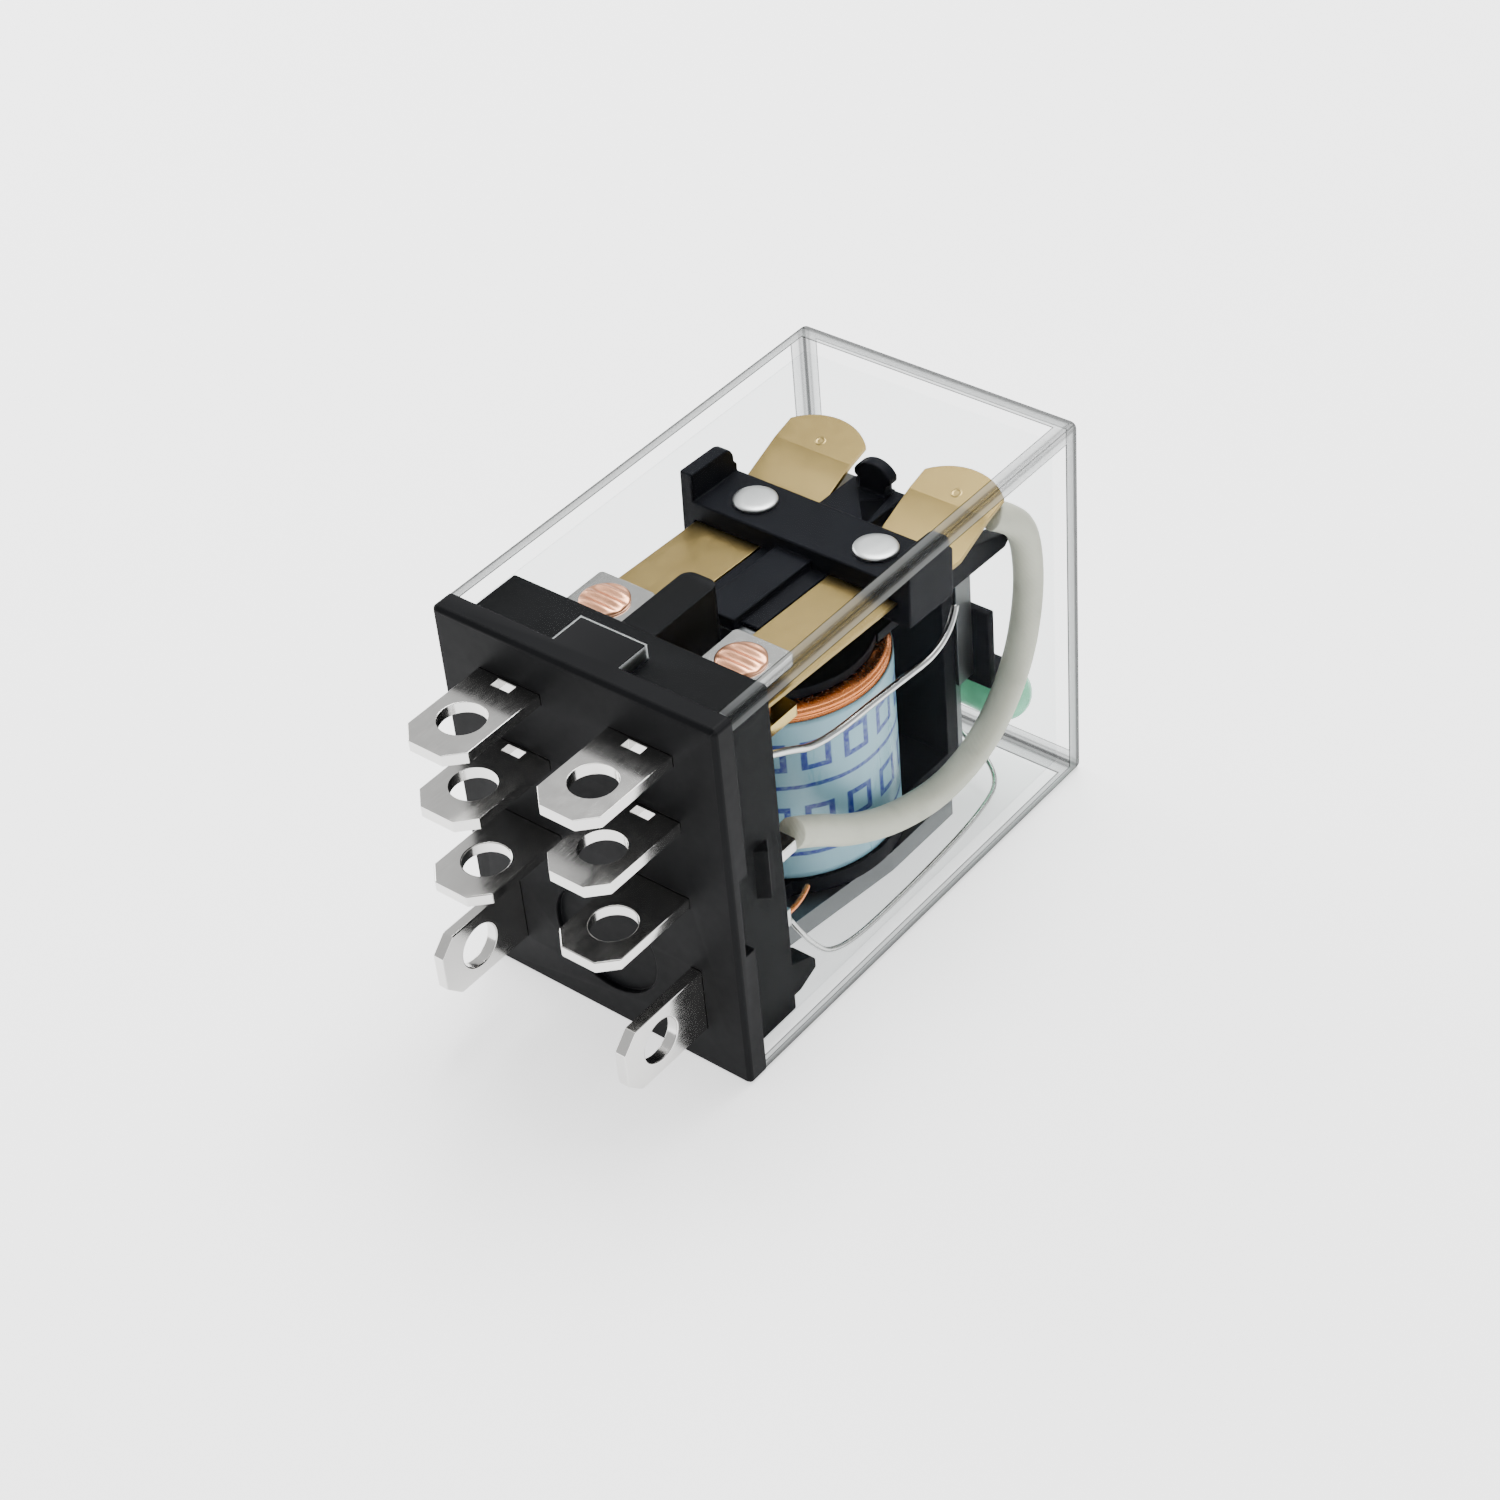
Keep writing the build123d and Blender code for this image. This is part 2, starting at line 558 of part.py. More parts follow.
# ================================================================ carrier
with BuildPart() as carrier:
    # Crossbar that clamps both springs.
    with BuildSketch(MOVING.offset(SPRING_HIGH)):
        with Locations((0, level((BAR_FRONT + BAR_REAR) / 2))):
            Rectangle(2 * WING_OUTER, BAR_REAR - BAR_FRONT)
        with Locations((-RIVET_X, level(RIVET_Y)), (RIVET_X, level(RIVET_Y))):
            Circle(SHANK_RADIUS, mode=Mode.SUBTRACT)
    extrude(amount=BAR_HEIGHT)
    # Nose ahead of the bar, and spine behind it, between the springs.
    with BuildSketch(MOVING.offset(SPRING_LOW)):
        with Locations((0, level((ARMATURE_FRONT + BAR_FRONT) / 2))):
            Rectangle(2 * NOSE_HALF, BAR_FRONT - ARMATURE_FRONT)
    extrude(amount=NOSE_TOP - SPRING_LOW)
    with BuildSketch(MOVING.offset(SPRING_LOW)):
        with Locations((0, level((ARMATURE_FRONT + BAR_FRONT) / 2) + 0.8)):
            Rectangle(2 * (SPRING_INNER - 0.1), BAR_FRONT - ARMATURE_FRONT)
    extrude(amount=SPRING_THICKNESS)
    with BuildSketch(MOVING.offset(SPRING_LOW)):
        with Locations((0, level((BAR_FRONT + SPINE_END) / 2))):
            Rectangle(2 * SPINE_HALF, SPINE_END - BAR_FRONT)
    extrude(amount=SPINE_TOP - SPRING_LOW)
    # Upright post with a rounded head at the rear of the spine.
    with BuildSketch(Plane(MOVING.origin, x_dir=MOVING.x_dir, z_dir=-MOVING.y_dir).offset(0.6)):
        with BuildLine():
            Polyline(
                (-POST_HEAD_HALF, POST_TOP - 0.8),
                (-POST_HEAD_HALF, SPINE_TOP + 0.9),
                (-POST_HALF, SPINE_TOP + 0.6),
                (-POST_HALF, SPINE_TOP - 0.4),
                (POST_HALF, SPINE_TOP - 0.4),
                (POST_HALF, SPINE_TOP + 0.6),
                (POST_HEAD_HALF, SPINE_TOP + 0.9),
                (POST_HEAD_HALF, POST_TOP - 0.8),
            )
            ThreePointArc(
                (POST_HEAD_HALF, POST_TOP - 0.8),
                (0, POST_TOP),
                (-POST_HEAD_HALF, POST_TOP - 0.8),
            )
        make_face()
    extrude(amount=0.9)
    for side, _ in SIDES:
        # Wing at each end of the bar, with a rounded top rear corner.
        inner = min(side * WING_INNER, side * WING_OUTER)
        with BuildSketch(MOVING_SIDE.offset(inner)):
            with BuildLine():
                Polyline(
                    (level(BAR_REAR - 1.3), WING_TOP),
                    (level(BAR_FRONT), WING_TOP),
                    (level(BAR_FRONT), ARM_BOTTOM),
                    (level(BAR_REAR), ARM_BOTTOM),
                    (level(BAR_REAR), BAR_TOP + 0.5),
                    (level(BAR_REAR - 0.3), BAR_TOP + 0.8),
                    (level(BAR_REAR - 0.3), WING_TOP - 1.0),
                )
                RadiusArc(
                    (level(BAR_REAR - 0.3), WING_TOP - 1.0),
                    (level(BAR_REAR - 1.3), WING_TOP),
                    radius=-1.0,
                )
            make_face()
        extrude(amount=WING_OUTER - WING_INNER)
        # Shelf under each spring, from the armature's edge out to the wing.
        inner = min(side * ARM_INNER, side * WING_OUTER)
        with BuildSketch(MOVING_SIDE.offset(inner)):
            with Locations((level((BAR_FRONT + BAR_REAR) / 2), (ARM_BOTTOM + SPRING_LOW) / 2)):
                Rectangle(BAR_REAR - BAR_FRONT, SPRING_LOW - ARM_BOTTOM)
        extrude(amount=WING_OUTER - ARM_INNER)
        # Side arm that runs back past the frame's leg, lower behind the bar.
        inner = min(side * ARM_INNER, side * ARM_OUTER)
        with BuildSketch(MOVING_SIDE.offset(inner)):
            with BuildLine():
                Polyline(
                    (level(BAR_REAR - 0.5), SPRING_LOW),
                    (level(BAR_REAR - 0.5), ARM_BOTTOM),
                    (level(ARM_STEP), ARM_DROP + 0.2),
                    (level(ARM_STEP + 0.4), ARM_DROP),
                    (level(ARM_REAR - 0.4), ARM_DROP),
                    (level(ARM_REAR), ARM_DROP + 0.4),
                    (level(ARM_REAR), ARM_DROP + 0.8),
                    (level(ARM_REAR - 0.4), ARM_DROP + 1.1),
                    (level(28.4), SPRING_LOW - 0.4),
                    (level(27.4), SPRING_LOW),
                    close=True,
                )
            make_face()
        extrude(amount=ARM_OUTER - ARM_INNER)
save(carrier.part, "carrier")


# ================================================================ contact springs
def spring_plan(side):
    """Plan of one contact spring: a straight blade with a wider rear tongue."""
    centre = side * (TONGUE_INNER + TONGUE_OUTER) / 2
    half = (TONGUE_OUTER - TONGUE_INNER) / 2
    with BuildSketch(MOVING) as outline:
        with BuildLine():
            Polyline(
                (centre - half, level(TONGUE_SHOULDER)),
                (centre - half, level(TONGUE_START - 0.8)),
                (centre - half + 0.4, level(TONGUE_START - 1.4)),
                (side * (SPRING_INNER + SPRING_OUTER) / 2 - 2.55, level(TONGUE_START - 1.4)),
                (side * (SPRING_INNER + SPRING_OUTER) / 2 - 2.55, level(SPRING_FRONT)),
                (side * (SPRING_INNER + SPRING_OUTER) / 2 + 2.55, level(SPRING_FRONT)),
                (side * (SPRING_INNER + SPRING_OUTER) / 2 + 2.55, level(TONGUE_START - 1.4)),
                (centre + half - 0.4, level(TONGUE_START - 1.4)),
                (centre + half, level(TONGUE_START - 0.8)),
                (centre + half, level(TONGUE_SHOULDER)),
            )
            ThreePointArc(
                (centre + half, level(TONGUE_SHOULDER)),
                (centre, level(TONGUE_END)),
                (centre - half, level(TONGUE_SHOULDER)),
            )
        make_face()
        for hole_x, hole_y in ((CONTACT_X, CONTACT_Y), (RIVET_X, RIVET_Y)):
            with Locations((side * hole_x, level(hole_y))):
                Circle(SHANK_RADIUS + FIT, mode=Mode.SUBTRACT)
    return outline.sketch


TONGUE_RUN = TONGUE_END - TONGUE_START
for side, name in SIDES:
    inner = min(side * TONGUE_INNER, side * TONGUE_OUTER) - 0.5
    with BuildPart() as contact_spring:
        with BuildSketch(MOVING_SIDE.offset(inner)):
            with BuildLine():
                Polyline(
                    (level(SPRING_FRONT) - 0.5, SPRING_LOW),
                    (level(TONGUE_START), SPRING_LOW),
                    (level(TONGUE_START) + 0.5 * TONGUE_RUN, SPRING_LOW + 0.56 * TONGUE_RISE),
                    (level(TONGUE_END) + 0.5, SPRING_LOW + TONGUE_RISE),
                    (level(TONGUE_END) + 0.5, SPRING_HIGH + TONGUE_RISE),
                    (level(TONGUE_START) + 0.5 * TONGUE_RUN - 0.05, SPRING_HIGH + 0.56 * TONGUE_RISE),
                    (level(TONGUE_START) - 0.1, SPRING_HIGH),
                    (level(SPRING_FRONT) - 0.5, SPRING_HIGH),
                    close=True,
                )
            make_face()
        extrude(amount=TONGUE_OUTER - TONGUE_INNER + 1.0)
        add(spring_plan(side))
        extrude(amount=ARMATURE_THICKNESS + 6.0, mode=Mode.INTERSECT)
    save(contact_spring.part, f"contact_spring_{name}")

    with BuildPart() as moving_contact:
        with BuildSketch(MOVING.offset(SPRING_LOW - 0.4)):
            with Locations((side * CONTACT_X, level(CONTACT_Y))):
                Circle(CONTACT_RADIUS)
        extrude(amount=0.4)
        with BuildSketch(MOVING.offset(SPRING_LOW)):
            with Locations((side * CONTACT_X, level(CONTACT_Y))):
                Circle(SHANK_RADIUS)
        extrude(amount=SPRING_THICKNESS)
        with BuildSketch(MOVING.offset(SPRING_HIGH)):
            with Locations((side * CONTACT_X, level(CONTACT_Y))):
                Circle(CONTACT_RADIUS - 0.1)
        extrude(amount=0.3)
    save(moving_contact.part, f"moving_contact_{name}")

    with BuildPart() as spring_rivet:
        with BuildSketch(MOVING.offset(0.05)):
            with Locations((side * RIVET_X, level(RIVET_Y))):
                Circle(SHANK_RADIUS)
        extrude(amount=BAR_TOP - 0.05)
        with BuildSketch(MOVING.offset(BAR_TOP)):
            with Locations((side * RIVET_X, level(RIVET_Y))):
                Circle(RIVET_RADIUS)
        extrude(amount=RIVET_HEAD)
        fillet(spring_rivet.edges().group_by(Axis.Z)[-1], radius=0.2)
    save(spring_rivet.part, f"spring_rivet_{name}")


# ================================================================ wires
def rounded_route(points, share=0.45):
    """Radii for a route: each is a share of its shorter run, by half its turn."""
    radii = []
    for before, corner, after in zip(points, points[1:], points[2:]):
        first = Vector(*corner) - Vector(*before)
        second = Vector(*after) - Vector(*corner)
        half_turn = radians(first.get_angle(second)) / 2
        radii.append(share * min(first.length, second.length) / tan(half_turn))
    return radii


def round_tube(points, diameter, name):
    """Round wire or sleeve along straight runs joined by tangent arcs."""
    radii = rounded_route(points)
    with BuildPart() as tube:
        with BuildLine() as route:
            path = FilletPolyline(*points, radius=radii)
        with BuildSketch(Plane(origin=path @ 0, z_dir=path % 0)):
            Circle(diameter / 2)
        sweep(path=route.line)
    length = sum(edge.length for edge in route.edges())
    stated = pi * diameter ** 2 / 4 * length
    print(f"{name}: length {length:.2f}, volume {tube.part.volume / stated:.4f} of stated,",
          "radii", [round(radius, 1) for radius in radii])
    save(tube.part, name)


for side, name in SIDES:
    # Sleeved lead from the common blade, round the rear, up to the tongue.
    lead_route = [
        (side * LEAD_X, 8.15, COM_Z + 0.1),
        (side * LEAD_X, 10.4, -1.8),
        (side * LEAD_X, 13.6, -4.3),
        (side * LEAD_X, 18.2, -6.7),
        (side * LEAD_X, 23.6, -8.0),
        (side * LEAD_X, 28.4, -6.9),
        (side * LEAD_X, 31.9, -3.4),
        (side * LEAD_X, 33.35, 1.4),
        (side * LEAD_X, 33.2, 5.6),
        (side * 8.4, 32.4, 7.9),
        (side * 7.6, 30.9, 8.75),
    ]
    round_tube(lead_route, LEAD_DIAMETER, f"lead_{name}")

    # Fine wire from the winding to the tail of the coil blade.
    coil_wire_route = [
        (side * 7.3, 8.6 + FINE_WIRE / 2, COIL_BLADE_Z + 0.2),
        (side * 7.3, 10.0, COIL_BLADE_Z + 0.1),
        (side * 6.6, 11.6, COIL_BLADE_Z - 0.1),
    ]
    round_tube(coil_wire_route, FINE_WIRE, f"coil_wire_{name}")

return_route = [
    (LEAD_X, BLOCK_END, 7.0),
    (LEAD_X, 8.2, 6.0),
    (LEAD_X, 11.3, 4.1),
    (LEAD_X, 18.4, 3.7),
    (LEAD_X, 24.6, 3.1),
    (LEAD_X - 0.6, 26.2, 4.9),
]
round_tube(return_route, WIRE_DIAMETER, "return_spring")

# ================================================================ indicator
LED_PLANE = Plane.YZ.offset(LED_START)
with BuildPart() as led:
    with BuildSketch(LED_PLANE):
        with Locations((LED_Y, LED_Z)):
            Circle(LED_RADIUS)
    extrude(amount=LED_DOME - LED_START)
    with Locations((LED_DOME, LED_Y, LED_Z)):
        Sphere(LED_RADIUS)
save(led.part, "led")

with BuildPart() as resistor:
    with BuildSketch(Plane.YZ.offset(RESISTOR_START)):
        with Locations((LED_Y, LED_Z)):
            Circle(RESISTOR_RADIUS)
    extrude(amount=RESISTOR_LENGTH)
    fillet(resistor.edges(), radius=0.35)
save(resistor.part, "resistor")

FOOT_GAP_Z = -INNER_HALF_HEIGHT + 0.4
link_route = [
    (RESISTOR_START + RESISTOR_LENGTH, LED_Y, LED_Z),
    (0.9, LED_Y, LED_Z + 0.1),
    (LED_START, LED_Y, LED_Z + 0.6),
]
round_tube(link_route, FINE_WIRE, "indicator_link")
for side, name in SIDES:
    start = (LED_START - 0.01, LED_Y, LED_Z - 0.7) if side > 0 else (RESISTOR_START, LED_Y, LED_Z)
    turn = (1.6, LED_Y, -9.2) if side > 0 else (-7.6, LED_Y, -8.2)
    tail_route = [
        start,
        turn,
        (side * 2.4 if side > 0 else -8.3, 32.4, -11.2),
        (side * 7.6, 31.2, FOOT_GAP_Z),
        (side * 8.9, 27.0, FOOT_GAP_Z + 0.1),
        (side * 9.2, 18.0, FOOT_GAP_Z),
        (side * 9.1, 11.0, FOOT_GAP_Z + 0.1),
        (side * 8.3, 9.3, -10.6),
        (side * 7.3, 8.6 + FINE_WIRE / 2, COIL_BLADE_Z - 0.35),
    ]
    round_tube(tail_route, FINE_WIRE, f"indicator_wire_{name}")

# Clip behind the frame's leg that carries the lamp and its resistor.
with BuildPart() as lamp_clip:
    with BuildSketch(across(LEG_FRONT + STEEL)):
        with Locations((0, -1.9)):
            Rectangle(14.6, 5.6)
    extrude(amount=-0.65)
    with BuildSketch(Plane.YZ.offset(-7.3)):
        with Locations((31.9, -4.85)):
            Rectangle(2.6, 0.7)
    extrude(amount=14.6)
    with BuildSketch(Plane.YZ.offset(-7.4)):
        with Locations((LED_Y, LED_Z)):
            Circle(LED_RADIUS + 0.02)
    extrude(amount=15.4, mode=Mode.SUBTRACT)
save(lamp_clip.part, "lamp_clip")
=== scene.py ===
"""Plug-in relay dressed as a studio object.

Two changeover poles, a coil and its hinged armature stand on a black moulded
base under a clear cover, with eight flat blades in front. Lengths are in
millimetres until a mesh is made, which holds metres. +Y runs from the blades
into the relay and +Z is up.
"""
import logging  # noqa: E402
from collections.abc import Sequence  # noqa: E402
from dataclasses import dataclass, field  # noqa: E402
from enum import Enum  # noqa: E402
from math import cos, pi, radians, sin  # noqa: E402

import bmesh  # noqa: E402
import bpy  # noqa: E402
import numpy as np  # noqa: E402
from mathutils import Matrix, Quaternion, Vector  # noqa: E402


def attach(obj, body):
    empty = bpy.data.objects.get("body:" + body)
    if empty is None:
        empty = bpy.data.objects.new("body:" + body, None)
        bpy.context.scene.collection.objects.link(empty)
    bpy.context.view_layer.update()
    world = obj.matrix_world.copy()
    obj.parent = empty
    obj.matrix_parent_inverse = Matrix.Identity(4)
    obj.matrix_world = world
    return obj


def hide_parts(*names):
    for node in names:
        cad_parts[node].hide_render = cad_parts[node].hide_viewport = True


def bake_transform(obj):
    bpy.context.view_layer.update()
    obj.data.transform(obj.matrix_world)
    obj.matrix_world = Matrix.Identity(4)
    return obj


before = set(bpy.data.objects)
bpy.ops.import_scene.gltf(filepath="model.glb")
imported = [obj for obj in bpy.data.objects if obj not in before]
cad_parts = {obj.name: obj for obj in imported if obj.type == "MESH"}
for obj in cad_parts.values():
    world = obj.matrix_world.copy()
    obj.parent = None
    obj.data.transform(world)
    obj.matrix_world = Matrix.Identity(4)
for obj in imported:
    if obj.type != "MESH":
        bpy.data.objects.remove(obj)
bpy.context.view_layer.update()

LOG = logging.getLogger("relay")
MM = 0.001
Point = tuple[float, float, float]
Colour = tuple[float, float, float]


class Body(Enum):
    """Rigid body that a piece moves with."""

    HOUSING = "housing"
    MOVING = "armature_assembly"


class Side(Enum):
    """Left or right half of the relay, with its sign along X."""

    LEFT = -1
    RIGHT = 1

    @property
    def label(self) -> str:
        """Lower-case word used in piece names."""
        return self.name.lower()


# ------------------------------------------------------------------ shader graphs
class Graph:
    """One material's node graph, with short calls for the usual nodes."""

    def __init__(self, name: str) -> None:
        """Start an empty graph with its output.

        Args:
            name: name of the new material.
        """
        self.material = bpy.data.materials.new(name)
        self.material.use_nodes = True
        self.tree = self.material.node_tree
        self.tree.nodes.clear()
        self.output = self.tree.nodes.new("ShaderNodeOutputMaterial")

    @classmethod
    def over(cls, material: bpy.types.Material) -> "Graph":
        """Wrap the graph of a finished material, to add to it.

        Args:
            material: the finished material.

        Returns:
            A graph that adds nodes to it.
        """
        graph = cls.__new__(cls)
        graph.material = material
        graph.tree = material.node_tree
        graph.output = next(n for n in graph.tree.nodes if n.type == "OUTPUT_MATERIAL")
        return graph

    def node(self, kind: str, attributes: dict | None = None, **inputs: object) -> bpy.types.Node:
        """Add one node.

        Args:
            kind: node type after "ShaderNode".
            attributes: node attributes by name.
            inputs: socket name, with _ for a space, to a value or a socket.

        Returns:
            The new node.
        """
        made = self.tree.nodes.new("ShaderNode" + kind)
        for key, value in (attributes or {}).items():
            setattr(made, key, value)
        for key, value in inputs.items():
            self.feed(made.inputs[key.replace("_", " ")], value)
        return made

    def feed(self, socket: bpy.types.NodeSocket, value: object) -> None:
        """Link or set one input.

        Args:
            socket: the input.
            value: a socket to link, a colour, a vector or a number.
        """
        if isinstance(value, bpy.types.NodeSocket):
            self.tree.links.new(value, socket)
        elif socket.type == "RGBA" and len(value) == 3:
            socket.default_value = (*value, 1.0)
        else:
            socket.default_value = value

    def place(self, scale: Point = (1, 1, 1), offset: Point = (0, 0, 0)) -> bpy.types.NodeSocket:
        """Return object coordinates, scaled and moved.

        Args:
            scale: factor along each axis.
            offset: shift in metres, after the scale.

        Returns:
            The vector output.
        """
        source = self.node("TexCoord").outputs["Object"]
        mapping = self.node("Mapping", Vector=source)
        mapping.inputs["Scale"].default_value = scale
        mapping.inputs["Location"].default_value = offset
        return mapping.outputs["Vector"]

    def noise(self, size_mm: float, where: bpy.types.NodeSocket, detail: float = 4.0,
              rough: float = 0.55) -> bpy.types.NodeSocket:
        """Return fractal noise with features about size_mm across.

        Args:
            size_mm: feature size in millimetres.
            where: coordinates in metres.
            detail: octaves.
            rough: strength of the finer octaves.

        Returns:
            The factor output, 0 to 1.
        """
        made = self.node("TexNoise", Vector=where, Scale=1.0 / (size_mm * MM), Detail=detail,
                         Roughness=rough)
        return made.outputs["Fac"]

    def remap(self, value: bpy.types.NodeSocket, low: float, high: float, to_low: float,
              to_high: float) -> bpy.types.NodeSocket:
        """Stretch low..high onto to_low..to_high, clamped.

        Args:
            value: input factor.
            low: input that gives to_low.
            high: input that gives to_high.
            to_low: first output.
            to_high: second output.

        Returns:
            The result output.
        """
        made = self.node("MapRange", Value=value)
        made.inputs["From Min"].default_value = low
        made.inputs["From Max"].default_value = high
        made.inputs["To Min"].default_value = to_low
        made.inputs["To Max"].default_value = to_high
        return made.outputs["Result"]

    def math(self, operation: str, first: object, second: object = 0.0) -> bpy.types.NodeSocket:
        """Return one arithmetic step.

        Args:
            operation: Blender's name of the operation.
            first: first operand.
            second: second operand.

        Returns:
            The value output.
        """
        made = self.node("Math", {"operation": operation})
        self.feed(made.inputs[0], first)
        self.feed(made.inputs[1], second)
        return made.outputs[0]

    def blend(self, share: object, first: object, second: object) -> bpy.types.NodeSocket:
        """Mix two colours by a share.

        Args:
            share: 0 gives first, 1 gives second.
            first: a colour or a colour output.
            second: a colour or a colour output.

        Returns:
            The colour output.
        """
        made = self.node("Mix", {"data_type": "RGBA"})
        self.feed(made.inputs[0], share)
        self.feed(made.inputs[6], first)
        self.feed(made.inputs[7], second)
        return made.outputs[2]

    def bump(self, height: bpy.types.NodeSocket, depth_mm: float,
             strength: float = 1.0) -> bpy.types.NodeSocket:
        """Turn a height into a shading normal.

        Args:
            height: height, 0 to 1.
            depth_mm: depth of a full step in millimetres.
            strength: share of the effect.

        Returns:
            The normal output.
        """
        made = self.node("Bump", Height=height, Strength=strength, Distance=depth_mm * MM)
        return made.outputs["Normal"]

    def surface(self, **inputs: object) -> bpy.types.Node:
        """Add a Principled shader and make it the surface.

        Args:
            inputs: socket name, with _ for a space, to a value or a socket.

        Returns:
            The shader node.
        """
        made = self.node("BsdfPrincipled", None, **inputs)
        self.tree.links.new(made.outputs[0], self.output.inputs["Surface"])
        return made


@dataclass(frozen=True)
class MouldedPlastic:
    """Injection-moulded plastic with spark grain, flow shade and rubbed edges."""

    name: str
    colour: Colour
    worn: Colour
    roughness: float = 0.42
    grain_mm: float = 0.12
    depth_mm: float = 0.0002
    sheen: float = 0.05

    def dress(self) -> bpy.types.Material:
        """Build the material.

        Returns:
            The new material.
        """
        graph = Graph(self.name)
        where = graph.place()
        flow = graph.noise(6.0, where, 3.0)
        dust = graph.noise(0.7, where, 3.0, 0.5)
        grain = graph.noise(self.grain_mm, where, 2.0)
        edge = graph.remap(graph.node("NewGeometry").outputs["Pointiness"], 0.55, 0.7, 0.0, 0.25)
        shade = graph.blend(graph.remap(flow, 0.3, 0.7, 0.0, 1.0),
                            tuple(c * 0.82 for c in self.colour), tuple(c * 1.18 for c in self.colour))
        specks = graph.remap(dust, 0.62, 0.8, 0.0, 0.03)
        shade = graph.blend(specks, shade, self.worn)
        shade = graph.blend(edge, shade, self.worn)
        gloss = graph.remap(dust, 0.25, 0.75, self.roughness - 0.03, self.roughness + 0.05)
        body = graph.surface(Base_Color=shade, Roughness=gloss,
                             Normal=graph.bump(grain, self.depth_mm, 0.15))
        body.inputs["Specular IOR Level"].default_value = self.sheen
        return graph.material


@dataclass(frozen=True)
class SheetMetal:
    """Rolled or plated metal with fine lines and faint stains."""

    name: str
    colour: Colour
    stain: Colour
    roughness: float = 0.22
    lines: Point = (1.0, 0.05, 1.0)
    line_mm: float = 0.05
    depth_mm: float = 0.002
    stained: float = 0.35

    def dress(self) -> bpy.types.Material:
        """Build the material.

        Returns:
            The new material.
        """
        graph = Graph(self.name)
        where = graph.place()
        along = graph.place(self.lines)
        roll = graph.noise(self.line_mm, along, 3.0)
        cloud = graph.noise(3.2, where, 5.0, 0.62)
        wisp = graph.noise(0.8, where, 4.0, 0.6)
        stained = graph.remap(cloud, 0.3, 0.85, 0.0, self.stained)
        shade = graph.blend(stained, self.colour, self.stain)
        shade = graph.blend(graph.remap(roll, 0.35, 0.65, 0.0, 0.22), shade,
                            tuple(min(1.0, c * 1.15) for c in self.colour))
        matte = graph.remap(wisp, 0.3, 0.75, self.roughness - 0.02, self.roughness + 0.04)
        gloss = graph.math("ADD", matte, graph.remap(roll, 0.3, 0.7, -0.03, 0.03))
        graph.surface(Base_Color=shade, Metallic=1.0, Roughness=gloss,
                      Normal=graph.bump(roll, self.depth_mm, 0.5))
        return graph.material


@dataclass(frozen=True)
class DippedBlade(SheetMetal):
    """Brass blade whose outer end is tinned and whose inner plate stays bare."""

    bare: Colour = (0.55, 0.40, 0.14)
    line_y: float = 5.0

    def dress(self) -> bpy.types.Material:
        """Build the material: the plated sheet, with bare brass past a wavy line.

        Returns:
            The new material.
        """
        material = super().dress()
        tree = material.node_tree
        graph = Graph.over(material)
        shader = next(n for n in tree.nodes if n.type == "BSDF_PRINCIPLED")
        plated = shader.inputs["Base Color"].links[0].from_socket
        where = graph.place()
        depth = graph.node("SeparateXYZ", Vector=where).outputs["Y"]
        wave = graph.remap(graph.noise(1.5, where), 0.0, 1.0, -0.6 * MM, 0.6 * MM)
        inner = graph.remap(graph.math("ADD", depth, wave), (self.line_y - 0.2) * MM,
                            (self.line_y + 0.2) * MM, 0.0, 1.0)
        graph.feed(shader.inputs["Base Color"], graph.blend(inner, plated, self.bare))
        return material


